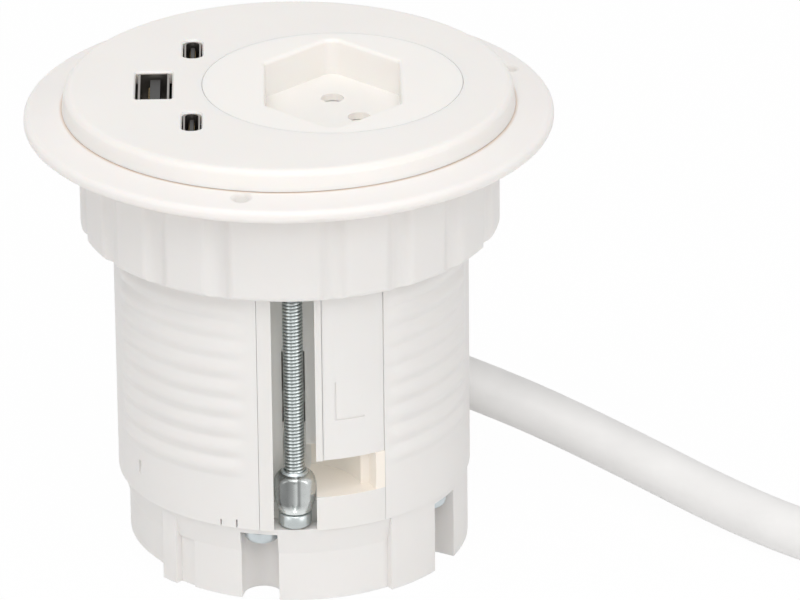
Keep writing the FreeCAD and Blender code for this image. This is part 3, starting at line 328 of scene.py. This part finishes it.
coverSpec = {"color": (0.875, 0.845, 0.815), "roughness": 0.42, "glow": 0.25, "glowDepth": 2 * mm}
# the socket insert takes a lighter copy of the cover's plastic: painted light in the shaded well
insertLitSpec = {"color": (0.915, 0.885, 0.85), "roughness": 0.42, "glow": 0.2, "glowDepth": 2 * mm}
bodySpec = {"color": (0.825, 0.805, 0.785), "roughness": 0.52, "bump": 0.2, "glow": 0.1}
finishes = {
    "cover_white": (plasticLook, coverSpec),
    "body_white": (plasticLook, bodySpec),
    "insulator_white": (plasticLook, {"color": (0.90, 0.86, 0.82), "roughness": 0.48, "glow": 0.2}),
    "port_black": (plasticLook, {"color": (0.012, 0.011, 0.010), "roughness": 0.45}),
    "connector_white": (plasticLook, {"color": (0.84, 0.83, 0.81), "roughness": 0.50}),
    "coil_amber": (plasticLook, {"color": (0.40, 0.22, 0.05), "roughness": 0.35, "cloudScale": 200}),
    "wire_brown": (plasticLook, {"color": (0.16, 0.06, 0.03), "roughness": 0.40}),
    "wire_blue": (plasticLook, {"color": (0.04, 0.13, 0.42), "roughness": 0.40}),
    "wire_red": (plasticLook, {"color": (0.42, 0.03, 0.02), "roughness": 0.40}),
    "contact_brass": (metalLook, {"color": (0.80, 0.58, 0.26), "roughness": 0.26}),
    "zinc_steel": (metalLook, {"color": (0.62, 0.67, 0.69), "roughness": 0.36}),
    "port_metal": (metalLook, {"color": (0.34, 0.32, 0.30), "roughness": 0.34}),
    "can_aluminium": (metalLook, {"color": (0.78, 0.79, 0.80), "roughness": 0.30}),
    "gland_rubber": (sheathLook, {"color": (0.78, 0.77, 0.75), "roughness": 0.62}),
    "cord_grey": (sheathLook, {"color": (0.84, 0.83, 0.82), "roughness": 0.46}),
}
materials = {slot: mottledFinish(slot, look, spec) for slot, (look, spec) in finishes.items()}
insertLitFinish = mottledFinish("insert_lit_white", plasticLook, insertLitSpec)

# circuit board: solder lacquer over copper tracks
laminateSpec = {
    "lacquer": (0.02, 0.12, 0.05), "track": (0.05, 0.22, 0.08), "otherShade": 0.8, "trackScale": 160,
    "trackWidth": 0.03, "bump": 0.3, "bumpHeight": 0.04 * mm, "roughness": 0.3,
}


def boardLaminate(name, spec):
    material, tree, shader = newMaterial(name)
    tracks = tree.nodes.new("ShaderNodeTexBrick")
    tracks.inputs["Scale"].default_value = spec["trackScale"]
    tracks.inputs["Mortar Size"].default_value = spec["trackWidth"]
    tracks.inputs["Color1"].default_value = (*spec["lacquer"], 1)
    tracks.inputs["Color2"].default_value = (*shade(spec["lacquer"], spec["otherShade"]), 1)
    tracks.inputs["Mortar"].default_value = (*spec["track"], 1)
    tree.links.new(objectPlace(tree), tracks.inputs["Vector"])
    tree.links.new(tracks.outputs["Color"], shader.inputs["Base Color"])
    bumpFrom(tree, shader, tracks.outputs["Fac"], spec["bump"], spec["bumpHeight"])
    shader.inputs["Roughness"].default_value = spec["roughness"]
    return material


# earth wire: green with a yellow stripe
insulationSpec = {
    "ground": (0.06, 0.26, 0.04), "stripe": (0.62, 0.52, 0.04), "stripeScale": 110,
    "stripeBand": (0.48, 0.52), "distortion": 0.5, "roughness": 0.4,
}


def bandedInsulation(name, spec):
    material, tree, shader = newMaterial(name)
    stripe = tree.nodes.new("ShaderNodeTexWave")
    stripe.inputs["Scale"].default_value = spec["stripeScale"]
    stripe.inputs["Distortion"].default_value = spec["distortion"]
    tree.links.new(objectPlace(tree), stripe.inputs["Vector"])
    stops = list(zip(spec["stripeBand"], (spec["ground"], spec["stripe"])))
    tree.links.new(rampOf(tree, stripe.outputs["Fac"], stops), shader.inputs["Base Color"])
    shader.inputs["Roughness"].default_value = spec["roughness"]
    return material


# chassis: painted warm bounce light in the claws' pockets, and a faint painted glow in the pockets and round
# the screws
linerSpec = {
    "color": (0.81, 0.79, 0.765), "roughness": 0.50, "glow": 0.1,
    "pocketBounceColor": (0.80, 0.725, 0.65), "pocketProduct": 60 * mm * mm, "pocketBottom": 22.45 * mm,
    "pocketTop": 30.2 * mm, "pocketFront": 33.4 * mm, "pocketLight": 0.14,
    "channelHalf": 5.2 * mm, "channelFront": 33.4 * mm, "channelBack": 18.0 * mm,
    "channelGlowTint": (0.96, 1.0, 0.94), "channelLight": 0.07,
}


def linerPlastic(name, spec):
    material = mottledFinish(name, plasticLook, spec)
    tree = material.node_tree
    shader = tree.nodes["Principled BSDF"]
    x, y, z = splitPlace(tree)
    depth = mathNode(tree, "ABSOLUTE", y)
    # the two pockets lie where x and y have opposite signs
    beside = mathNode(tree, "LESS_THAN", mathNode(tree, "MULTIPLY", x, y), -spec["pocketProduct"])
    inside = mathNode(tree, "LESS_THAN", depth, spec["pocketFront"])
    above = mathNode(tree, "GREATER_THAN", z, spec["pocketBottom"])
    below = mathNode(tree, "LESS_THAN", z, spec["pocketTop"])
    pocket = allOf(tree, beside, inside, above, below)
    # painted warm bounce light: the pockets' colour is lighter and warmer than the rest
    mixInto(tree, shader, pocket, spec["pocketBounceColor"])
    # the channels run up the front and the back
    near = mathNode(tree, "LESS_THAN", mathNode(tree, "ABSOLUTE", x), spec["channelHalf"])
    outer = mathNode(tree, "LESS_THAN", awayFrom(tree, x, y, (0, 0)), spec["channelFront"])
    deep = mathNode(tree, "GREATER_THAN", depth, spec["channelBack"])
    channelLight = mathNode(tree, "MULTIPLY", allOf(tree, near, outer, deep), spec["channelLight"])
    pocketLight = mathNode(tree, "MULTIPLY", pocket, spec["pocketLight"])
    # painted glow: the channels and pockets give off a little light of their own, though they are no lamp
    shader.inputs["Emission Color"].default_value = (*spec["channelGlowTint"], 1)
    light = mathNode(tree, "MAXIMUM", channelLight, pocketLight)
    tree.links.new(light, shader.inputs["Emission Strength"])
    return material


# clamp screws: bright crests, with painted shade darkening the thread roots
threadSpec = {
    "color": (0.58, 0.62, 0.62), "roughness": 0.30, "rootShadeColor": (0.17, 0.19, 0.185),
    "axisReach": 31.2 * mm, "root": 1.66 * mm, "crest": 1.92 * mm, "threadBottom": 19.2 * mm,
}


def threadMetal(name, spec):
    material = mottledFinish(name, metalLook, spec)
    tree = material.node_tree
    x, y, z = splitPlace(tree)
    away = awayFrom(tree, x, mathNode(tree, "ABSOLUTE", y), (0, spec["axisReach"]))
    depth = rangeOf(tree, away, 1.0, 0.0, spec["root"], spec["crest"])
    above = mathNode(tree, "GREATER_THAN", z, spec["threadBottom"])
    # painted shade in the thread roots
    mixInto(tree, tree.nodes["Principled BSDF"], allOf(tree, above, depth), spec["rootShadeColor"])
    return material


# flange: painted shade in the shallow dimples, and a painted warm shadow along the seam round the cover
ringSpec = {
    "color": (0.875, 0.845, 0.82), "roughness": 0.40, "glow": 0.2,
    "dimples": (-11.5, 111.0, -128.5), "dimpleReach": 45.4 * mm, "dimpleRadius": 2.3 * mm,
    "dimpleFloor": 1.38 * mm, "dimpleShadeColor": (0.72, 0.69, 0.66),
    "seamReach": 43.28 * mm, "seamWidth": 0.5 * mm, "seamShadowColor": (0.74, 0.60, 0.50),
}


def dimpledPlastic(name, spec):
    material = mottledFinish(name, plasticLook, spec)
    tree = material.node_tree
    shader = tree.nodes["Principled BSDF"]
    x, y, z = splitPlace(tree)
    dimpleShade = 0.0
    for turn in spec["dimples"]:
        angle = math.radians(turn)
        centre = (spec["dimpleReach"] * math.sin(angle), -spec["dimpleReach"] * math.cos(angle))
        away = awayFrom(tree, x, y, centre)
        fall = rangeOf(tree, away, 0.0, 1.0, spec["dimpleRadius"], spec["dimpleFloor"])
        dimpleShade = mathNode(tree, "MAXIMUM", dimpleShade, fall)
    # painted shade in the dimples
    mixInto(tree, shader, dimpleShade, spec["dimpleShadeColor"])
    away = awayFrom(tree, x, y, (0, 0))
    seam = rangeOf(tree, away, 0.0, 1.0, spec["seamReach"] + spec["seamWidth"], spec["seamReach"])
    # painted warm shadow along the seam where the cover meets the flange
    mixInto(tree, shader, seam, spec["seamShadowColor"])
    return material


# claws: polished castings whose pressed-in front carries a painted reflection of the dark channel in upright
# streaks
castSpec = {
    "color": (0.80, 0.83, 0.82), "roughness": 0.24, "grainStretch": (1, 1, 1),
    "streakReach": 4.2 * mm, "footLevel": 20.0 * mm, "footFade": 1.2 * mm,
    # place across the claw and brightness of the painted reflection there
    "reflectionStreaks": ((0.0, 0.95), (0.08, 0.75), (0.16, 0.30), (0.33, 0.27), (0.44, 0.42), (0.53, 0.75),
                (0.585, 0.28), (0.65, 0.65), (0.80, 0.75), (1.0, 0.65)),
}


def castMetal(name, spec):
    material = mottledFinish(name, metalLook, spec)
    tree = material.node_tree
    x, y, z = splitPlace(tree)
    aside = rangeOf(tree, x, 0.0, 1.0, -spec["streakReach"], spec["streakReach"])
    reflectionStreaks = rampOf(tree, aside, [(place, (grey, grey, grey)) for place, grey in spec["reflectionStreaks"]])
    body = rangeOf(tree, z, 0.0, 1.0, spec["footLevel"], spec["footLevel"] + spec["footFade"])
    # painted reflection streaks, faded in above the foot
    mixInto(tree, tree.nodes["Principled BSDF"], body, reflectionStreaks, "MULTIPLY")
    return material


materials["liner_grey"] = linerPlastic("liner_grey", linerSpec)
materials["zinc_cast"] = castMetal("zinc_cast", castSpec)
materials["trim_white"] = dimpledPlastic("trim_white", ringSpec)
materials["board_green"] = boardLaminate("board_green", laminateSpec)
materials["wire_green"] = bandedInsulation("wire_green", insulationSpec)
threadFinish = threadMetal("zinc_thread", threadSpec)
print("materials made:", len(materials))


# cord: the part source's exit and listed steps, in metres
cordSpec = {
    "radius": 4.9 * mm,
    "length": 0.187,
    "exitRadius": 36.98 * mm,
    "exitAngle": 121.28,
    "exitLevel": 22.9 * mm,
    "aroundSteps": 12,
    "alongSteps": 24,
    "order": 3,
    "steps": (
        (0.0, 0.0, 0.0),
        (0.0118, -0.0012, -0.0047),
        (0.0248, -0.0046, -0.0100),
        (0.0378, -0.0112, -0.0144),
        (0.0504, -0.0212, -0.0173),
        (0.0632, -0.0340, -0.0180),
        (0.0776, -0.0456, -0.0180),
        (0.0948, -0.0530, -0.0180),
        (0.1134, -0.0552, -0.0180),
        (0.1320, -0.0516, -0.0180),
        (0.1484, -0.0424, -0.0180),
        (0.1616, -0.0290, -0.0180),
    ),
}


def cordExit(spec):
    turn = math.radians(spec["exitAngle"])
    reach = spec["exitRadius"]
    return Vector((reach * math.sin(turn), -reach * math.cos(turn), spec["exitLevel"]))


def makeCord(spec):
    start = cordExit(spec)
    curve = bpy.data.curves.new("cordSheath", "CURVE")
    curve.dimensions = "3D"
    curve.bevel_depth = spec["radius"]
    curve.bevel_resolution = spec["aroundSteps"]
    curve.use_fill_caps = True
    spline = curve.splines.new("NURBS")
    spline.points.add(len(spec["steps"]) - 1)
    for point, step in zip(spline.points, spec["steps"]):
        point.co = (*(start + Vector(step)), 1)
    spline.order_u = spec["order"]
    spline.use_endpoint_u = True
    spline.resolution_u = spec["alongSteps"]
    sheath = bpy.data.objects.new("cordSheath", curve)
    bpy.context.scene.collection.objects.link(sheath)
    curve.materials.append(materials["cord_grey"])
    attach(sheath, "housing")
    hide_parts("cord")


makeCord(cordSpec)
print("cord made")


# mesh helpers: a skin is a list of points in mm and a list of faces
def turnedSkin(profile, count, centre, ring=False):
    # a profile of (radius, level) turned about an upright line: capped, or closed into a ring
    points, faces = [], []
    for radius, level in profile:
        for step in range(count):
            angle = 2 * math.pi * step / count
            points.append((centre[0] + radius * math.cos(angle), centre[1] + radius * math.sin(angle), level))
    rows = len(profile)
    for row in range(rows if ring else rows - 1):
        here, above = row * count, (row + 1) % rows * count
        for step in range(count):
            after = (step + 1) % count
            faces.append((here + step, here + after, above + after, above + step))
    if not ring:
        last = (rows - 1) * count
        faces += [tuple(reversed(range(count))), tuple(range(last, last + count))]
    return points, faces


def prismFaces(count):
    # sides and both ends between two equal outlines
    faces = [(i, (i + 1) % count, count + (i + 1) % count, count + i) for i in range(count)]
    return faces + [tuple(reversed(range(count))), tuple(range(count, 2 * count))]


def boxSkin(low, high):
    plan = ((low[0], low[1]), (high[0], low[1]), (high[0], high[1]), (low[0], high[1]))
    return [(x, y, z) for z in (low[2], high[2]) for x, y in plan], prismFaces(len(plan))


def joinSkins(skins):
    points, faces = [], []
    for morePoints, moreFaces in skins:
        shift = len(points)
        points += morePoints
        faces += [tuple(index + shift for index in face) for face in moreFaces]
    return points, faces


def onSide(skin, side):
    # the back pieces are the front ones after half a turn
    points, faces = skin
    return skin if side == "front" else ([(-x, -y, z) for x, y, z in points], faces)


def arcPoints(centre, radius, first, last, steps):
    # points on an arc, angles in degrees from the outward direction
    turns = [math.radians(first + (last - first) * step / steps) for step in range(steps + 1)]
    return [(centre[0] + radius * math.cos(turn), centre[1] + radius * math.sin(turn)) for turn in turns]


def smoothStep(share):
    return share * share * (3 - 2 * share)


def newMesh(name, skin):
    points, faces = skin
    mesh = bpy.data.meshes.new(name)
    mesh.from_pydata([tuple(value * mm for value in point) for point in points], [], faces)
    return mesh


def smoothSkin(mesh, sharpAngle):
    mesh.shade_smooth()
    mesh.set_sharp_from_angle(angle=math.radians(sharpAngle))


def makePiece(name, skin, slot, body, sharpAngle=40):
    mesh = newMesh(name, skin)
    mesh.validate()
    piece = bpy.data.objects.new(name, mesh)
    bpy.context.scene.collection.objects.link(piece)
    mesh.materials.append(materials[slot])
    smoothSkin(mesh, sharpAngle)
    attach(piece, body)
    return piece


def faceOutward(piece):
    mesh = bmesh.new()
    mesh.from_mesh(piece.data)
    bmesh.ops.recalc_face_normals(mesh, faces=mesh.faces)
    mesh.to_mesh(piece.data)
    mesh.free()


roundingSteps = 3


def roundEdges(piece, width, sharpAngle, keepFlat=False):
    rounding = piece.modifiers.new("edgeRound", "BEVEL")
    rounding.width = width * mm
    rounding.segments = roundingSteps
    rounding.limit_method = "ANGLE"
    rounding.angle_limit = math.radians(sharpAngle)
    rounding.use_clamp_overlap = True
    rounding.harden_normals = keepFlat


def cutAway(piece, skin):
    # takes a closed form out of a piece for good
    cutter = bpy.data.objects.new("cutter", newMesh("cutter", skin))
    bpy.context.scene.collection.objects.link(cutter)
    cut = piece.modifiers.new("cut", "BOOLEAN")
    cut.object = cutter
    cut.operation = "DIFFERENCE"
    cut.solver = "EXACT"
    bpy.context.view_layer.update()
    graph = bpy.context.evaluated_depsgraph_get()
    trimmed = bpy.data.meshes.new_from_object(piece.evaluated_get(graph))
    piece.modifiers.clear()
    piece.data = trimmed
    bpy.data.objects.remove(cutter)


# clamp screws: rolled metric thread, pan head below, driving slot on top
screwSpec = {
    "axis": (0.0, -31.2),
    "pitch": 0.7,
    "rootRadius": 1.63,
    "crestRadius": 1.95,
    # share of one pitch and the radius there
    "threadForm": ((0.0, "rootRadius"), (0.14, "rootRadius"), (0.5, "crestRadius"), (0.64, "crestRadius")),
    "threadBottom": 19.4,
    "headBottom": 15.9,
    "headTop": 18.8,
    "headRadius": 3.15,
    "headRound": 0.9,
    "roundSteps": 6,
    "rimBevel": 0.3,
    "neckRise": 0.3,
    "neckStep": 0.05,
    "neckEase": 0.02,
    "coreEase": 0.03,
    "slotWidth": 0.8,
    "slotDepth": 1.4,
    "landSteps": 14,
    "centreRadius": 0.01,
    "around": 28,
    "aroundHead": 40,
    "sharpAngle": 55,
}


def screwThread(spec, top):
    # rows follow the helix, so that crest and root stay sharp
    count, bottom, pitch = spec["around"], spec["threadBottom"], spec["pitch"]
    rows = []
    for turn in range(-1, math.ceil((top - bottom) / pitch) + 1):
        rows += [(bottom + (turn + share) * pitch, spec[radius]) for share, radius in spec["threadForm"]]
    points, faces = [], []
    for level, radius in rows:
        for step in range(count + 1):
            angle = 2 * math.pi * step / count
            z = min(max(level + pitch * step / count, bottom), top)
            x, y = radius * math.cos(angle), radius * math.sin(angle)
            points.append((spec["axis"][0] + x, spec["axis"][1] + y, z))
    width = count + 1
    for row in range(len(rows) - 1):
        for first in range(row * width, row * width + count):
            faces.append((first, first + 1, first + width + 1, first + width))
    return points, faces


def halfRound(spec, bottom, top, side):
    # one of the two lands beside the driving slot
    start = math.degrees(math.asin(spec["slotWidth"] / 2 / spec["crestRadius"]))
    outline = arcPoints((0, 0), spec["crestRadius"], start, 180 - start, spec["landSteps"])
    points = [(spec["axis"][0] + x, spec["axis"][1] + side * y, z) for z in (bottom, top) for x, y in outline]
    faces = prismFaces(len(outline))
    return points, faces if side > 0 else [tuple(reversed(face)) for face in faces]


def makeClampScrew(spec, side):
    node = "clamp_screw_" + side
    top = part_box(node)[1][2] / mm
    land = top - spec["slotDepth"]
    centre, root, ease = spec["centreRadius"], spec["rootRadius"], spec["neckEase"]
    low, high, radius, curve = spec["headBottom"], spec["headTop"], spec["headRadius"], spec["headRound"]
    head = [(centre, low)] + arcPoints((radius - curve, low + curve), curve, -90, 0, spec["roundSteps"])
    head += [(radius, high - spec["rimBevel"]), (radius - spec["rimBevel"], high)]
    head += [(spec["crestRadius"] + spec["neckStep"], high)]
    head += [(root, high + spec["neckRise"]), (centre, high + spec["neckRise"])]
    skins = [turnedSkin(head, spec["aroundHead"], spec["axis"])]
    # the core inside the thread, and the plain neck above the head
    for width, end in ((root - spec["coreEase"], land), (root + ease, spec["threadBottom"] + ease)):
        bar = [(centre, high), (width, high), (width, end), (centre, end)]
        skins.append(turnedSkin(bar, spec["around"], spec["axis"]))
    skins += [screwThread(spec, land), halfRound(spec, land, top, 1), halfRound(spec, land, top, -1)]
    name = "clampScrew" + side.capitalize()
    skin = onSide(joinSkins(skins), side)
    piece = makePiece(name, skin, "zinc_steel", side + "_screw", spec["sharpAngle"])
    piece.data.materials[0] = threadFinish
    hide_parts(node)


for side in ("front", "back"):
    makeClampScrew(screwSpec, side)
print("clamp screws made")


# port contacts: gilded strips on the tongues, one row on the wide port and two on the small ones
smallPort = {"count": 12, "strip": 0.26, "gap": 0.2, "depth": 0.02, "foot": 1.5, "drop": 0.4, "rows": (-1, 1)}
contactSpec = {
    "usbA": {"node": "usb_a_tongue", "count": 4, "strip": 1.1, "gap": 0.35, "depth": 0.03, "foot": 1.5,
             "drop": 0.5, "rows": (-1,)},
    "usbCFront": {"node": "usb_c_front_tongue", **smallPort},
    "usbCBack": {"node": "usb_c_back_tongue", **smallPort},
}


def makeContacts(name, spec):
    low, high = [[value / mm for value in corner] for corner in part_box(spec["node"])]
    middle = (low[1] + high[1]) / 2
    pitch = spec["strip"] + spec["gap"]
    skins = []
    for row in spec["rows"]:
        face = low[0] if row < 0 else high[0]
        near, far = sorted((face - row * spec["depth"], face + row * spec["depth"]))
        for number in range(spec["count"]):
            y = middle + (number - (spec["count"] - 1) / 2) * pitch
            skins.append(boxSkin((near, y - spec["strip"] / 2, low[2] + spec["foot"]),
                                 (far, y + spec["strip"] / 2, high[2] - spec["drop"])))
    makePiece(name, joinSkins(skins), "contact_brass", "housing")


for port, spec in contactSpec.items():
    makeContacts(port + "Contacts", spec)
print("port contacts made")


# threaded shells: the coarse thread as soft waves that fade out at the ends of each field
shellSpec = {
    "radius": 34.1,
    "inner": 32.1,
    "bottom": 15.6,
    "top": 89.7,
    "start": -149.6,
    "seamPlane": 6.88,
    "fields": ((-68.0, -14.0), (-143.0, -103.0)),  # degrees from the front
    "fade": 7.0,
    "pitch": 4.1,
    "lowestRidge": 28.45,
    "ridges": 14,
    "waveHeight": 0.66,
    "waveSharpness": 0.7,
    "angleStep": 1.25,
    "levelStep": 0.34,
    "edgeRound": 0.25,
    "edgeAngle": 60,
    "sharpAngle": 50,
    # angle, lower end, width and height
    "slits": ((-60.5, 20.2, 0.9, 2.8), (-24.6, 15.0, 0.3, 2.0), (-19.2, 15.0, 0.3, 2.4)),
    "slitReach": (-1, 2),  # past the inner and the outer face
    "holeRadius": 7.3,
    "holeReach": (-16.0, 8.0),
    "aroundHole": 48,
}


def waveLift(spec, angle, level, turnedBy):
    # outward swell of the thread at an angle from the front, before the shell is turned into place
    turn = (level - spec["lowestRidge"]) / spec["pitch"] - (angle + turnedBy) / 360
    if not -0.5 < turn < spec["ridges"] - 0.5:
        return 0.0
    wave = (0.5 + 0.5 * math.cos(2 * math.pi * turn)) ** spec["waveSharpness"]
    for first, last in spec["fields"]:
        reach = min(angle - first + spec["fade"], last - angle) / spec["fade"]
        if reach > 0:
            return spec["waveHeight"] * wave * smoothStep(min(reach, 1))
    return 0.0


def spacedValues(low, high, step):
    count = max(1, round((high - low) / step))
    return [low + (high - low) * index / count for index in range(count + 1)]


def shellSkin(spec, turnedBy):
    levels = spacedValues(spec["bottom"], spec["top"], spec["levelStep"])
    seam = -math.degrees(math.asin(spec["seamPlane"] / spec["radius"]))
    angles = spacedValues(spec["start"], seam, spec["angleStep"])
    points, faces = [], []
    for outer in (True, False):
        for level in levels:
            for angle in angles:
                lift = waveLift(spec, angle, level, turnedBy)
                radius = spec["radius"] + lift if outer else spec["inner"]
                turn = math.radians(angle + turnedBy)
                points.append((radius * math.sin(turn), -radius * math.cos(turn), level))
    wide, rows = len(angles), len(levels)
    inner = wide * rows
    for row in range(rows - 1):
        for column in range(wide - 1):
            first = row * wide + column
            face = (first, first + 1, first + wide + 1, first + wide)
            faces += [face, tuple(inner + index for index in reversed(face))]
    rim = list(range(wide))
    rim += [row * wide + wide - 1 for row in range(1, rows)]
    rim += [(rows - 1) * wide + column for column in reversed(range(wide - 1))]
    rim += [row * wide for row in reversed(range(1, rows - 1))]
    for index, after in zip(rim, rim[1:] + rim[:1]):
        faces.append((after, index, inner + index, inner + after))
    return points, faces


def slitSkin(spec, angle, level, wide, high):
    # an upright box through the shell's wall
    turn = math.radians(angle)
    along = Vector((math.cos(turn), math.sin(turn), 0))
    out = Vector((math.sin(turn), -math.cos(turn), 0))
    near, far = out * (spec["inner"] + spec["slitReach"][0]), out * (spec["radius"] + spec["slitReach"][1])
    half = along * wide / 2
    corners = [near - half, near + half, far + half, far - half]
    points = [(corner.x, corner.y, z) for z in (level, level + high) for corner in corners]
    return points, [tuple(reversed(face)) for face in prismFaces(len(corners))]


def holeSkin(spec):
    # a round bar along the cord's first run
    start = cordExit(cordSpec) / mm
    axis = Vector(cordSpec["steps"][1]).normalized()
    side = axis.orthogonal().normalized()
    over = axis.cross(side)
    count = spec["aroundHole"]
    points = []
    for reach in spec["holeReach"]:
        for step in range(count):
            turn = 2 * math.pi * step / count
            ring = (side * math.cos(turn) + over * math.sin(turn)) * spec["holeRadius"]
            points.append(tuple(start + axis * reach + ring))
    return points, prismFaces(count)


def makeThreadShell(name, spec, turnedBy, node, cuts):
    piece = makePiece(name, shellSkin(spec, turnedBy), "body_white", "housing")
    for cut in cuts:
        cutAway(piece, cut)
    smoothSkin(piece.data, spec["sharpAngle"])
    roundEdges(piece, spec["edgeRound"], spec["edgeAngle"])
    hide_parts(node)


slits = [slitSkin(shellSpec, *slit) for slit in shellSpec["slits"]]
makeThreadShell("threadShellLeft", shellSpec, 0, "thread_shell_left", slits)
makeThreadShell("threadShellRight", shellSpec, 180, "thread_shell_right", [holeSkin(shellSpec)])
print("threaded shells made")


# clamp claws: closed tulip cups with a pressed-in front, and the arm with its tooth behind
clawSpec = {
    "bottom": 19.1,
    "height": 7.9,
    "footRadius": 3.15,
    "radius": 3.95,
    "swell": 3.4,
    "swellSteps": 12,
    "shoulder": 1.9,
    "shoulderArc": (0, 75, 6),  # first and last angle, steps
    "insideArc": (60, 0, 4),
    "wall": 0.8,
    "floor": 1.0,
    "screwHole": 2.05,
    "topHole": 2.68,
    # level and half the hollow's width there
    "hollow": ((19.6, 0.3), (21.0, 1.4), (23.0, 2.5), (25.2, 2.9), (26.3, 2.6)),
    "hollowDepth": 1.0,
    "hollowFade": 0.8,
    "armWidth": 3.4,
    "armReach": 12.5,
    "armBottom": 3.6,
    "armTop": 6.4,
    "toothTop": 9.4,
    "toothLength": 3.0,
    "toothBend": (1.5, 2.0),
    "around": 96,
    "edgeRound": 0.25,
    "edgeAngle": 45,
    "sharpAngle": 50,
}


def clawCup(spec, axis):
    low, top = spec["bottom"], spec["bottom"] + spec["height"]
    foot, wide, wall, shoulder = spec["footRadius"], spec["radius"], spec["wall"], spec["shoulder"]
    floor = low + spec["floor"]
    flank = []
    for step in range(spec["swellSteps"] + 1):
        share = step / spec["swellSteps"]
        flank.append((foot + (wide - foot) * math.sin(math.pi / 2 * share), low + spec["swell"] * share))
    crown = (wide - shoulder, top - shoulder)
    profile = [(spec["screwHole"], low)] + flank + arcPoints(crown, shoulder, *spec["shoulderArc"])
    profile += [(spec["topHole"], top), (spec["topHole"], top - wall)]
    profile += arcPoints(crown, shoulder - wall, *spec["insideArc"])
    profile += [(radius - wall, level) for radius, level in reversed(flank) if level > floor]
    profile += [(foot - wall, floor), (spec["screwHole"], floor)]
    return turnedSkin(profile, spec["around"], axis, ring=True)


def hollowFront(spec, axis, skin):
    # the cup's front is pressed in, wide above and drawn together at the foot
    points, faces = skin
    steps, fadeLength = spec["hollow"], spec["hollowFade"]
    bottom, top = steps[0][0], steps[-1][0]
    pressed = []
    for x, y, z in points:
        if y < axis[1] and bottom < z < top:
            for (low, narrow), (high, wide) in zip(steps, steps[1:]):
                if low <= z <= high:
                    reach = narrow + (wide - narrow) * (z - low) / (high - low)
            fade = min(1.0, (top - z) / fadeLength, (z - bottom) / fadeLength)
            y += spec["hollowDepth"] * fade * smoothStep(max(0.0, 1 - abs(x - axis[0]) / reach))
        pressed.append((x, y, z))
    return pressed, faces


def clawArm(spec, axis):
    low = spec["bottom"]
    root = axis[1] + spec["radius"] - spec["wall"] / 2
    tip = axis[1] + spec["armReach"]
    bottom, top, tooth = low + spec["armBottom"], low + spec["armTop"], low + spec["toothTop"]
    bendBack, bendRise = spec["toothBend"]
    outline = [(root, bottom), (tip - spec["armBottom"], bottom), (tip, top), (tip, tooth),
               (tip - bendBack, top + bendRise), (tip - spec["toothLength"], top), (root, top)]
    half = spec["armWidth"] / 2
    return [(x, y, z) for x in (-half, half) for y, z in outline], prismFaces(len(outline))


def castPiece(name, skin, spec, side):
    piece = makePiece(name, onSide(skin, side), "zinc_cast", side + "_claw")
    faceOutward(piece)
    smoothSkin(piece.data, spec["sharpAngle"])
    roundEdges(piece, spec["edgeRound"], spec["edgeAngle"])
    return piece


def makeClaw(spec, side):
    name, axis = "clampClaw" + side.capitalize(), screwSpec["axis"]
    cup = castPiece(name, hollowFront(spec, axis, clawCup(spec, axis)), spec, side)
    castPiece(name + "Arm", clawArm(spec, axis), spec, side)
    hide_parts("clamp_claw_" + side)


# bushes: the turned sleeves that carry the claws
bushSpec = {"radius": 2.6, "bore": 1.98, "bottom": 24.8, "top": 27.35, "lip": 0.35, "around": 40}


def makeBush(spec, side):
    bore, outer, low, high, lip = (spec[size] for size in ("bore", "radius", "bottom", "top", "lip"))
    profile = [(bore, low), (outer, low), (outer, high - lip), (outer - lip, high), (bore, high)]
    skin = turnedSkin(profile, spec["around"], screwSpec["axis"], ring=True)
    piece = makePiece("clampBush" + side.capitalize(), onSide(skin, side), "zinc_steel", side + "_bush")
    faceOutward(piece)
    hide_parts("clamp_bush_" + side)


for side in ("front", "back"):
    makeClaw(clawSpec, side)
    makeBush(bushSpec, side)
print("claws and bushes made")


# seat shields: low walls behind the screws' heads close the view into the body
shieldSpec = {
    "low": (-5.0, -27.9, 13.2),
    "high": (5.0, -27.2, 18.9),
    "edgeRound": 0.2,
    "edgeAngle": 30,
}


def makeShield(spec, side):
    skin = onSide(boxSkin(spec["low"], spec["high"]), side)
    piece = makePiece("seatShield" + side.capitalize(), skin, "liner_grey", "housing")
    roundEdges(piece, spec["edgeRound"], spec["edgeAngle"])


for side in ("front", "back"):
    makeShield(shieldSpec, side)
print("seat shields made")

# every node of the frame gets its finish
for entry in frame["record"]["subparts"]:
    node = nodes[entry["node"]]
    node.data.materials.clear()
    node.data.materials.append(materials[entry["material_slot"]])
# the lighter copy of the cover's plastic on the insert paints light into the well
nodes["socket_insert"].data.materials[0] = insertLitFinish
print("finishes given to all nodes")

# moulded and pressed edges are never knife sharp
edgeAngle = 38
edgeSpec = {
    "cover_disc": 0.10,
    "socket_insert": 0.12,
    "flange": 0.15,
    "ring_nut": 0.45,
    "side_panel_front": 0.1,
    "side_panel_back": 0.1,
    "bottom_cap": 0.3,
    "chassis": 0.15,
    "connector_body": 0.5,
    "connector_relief": 0.3,
    "usb_a_shell": 0.08,
    "usb_c_front_shell": 0.06,
    "usb_c_back_shell": 0.06,
    "cap_screws": 0.12,
}
for name, width in edgeSpec.items():
    roundEdges(nodes[name], width, edgeAngle, keepFlat=True)
print("edges rounded on", len(edgeSpec), "nodes")
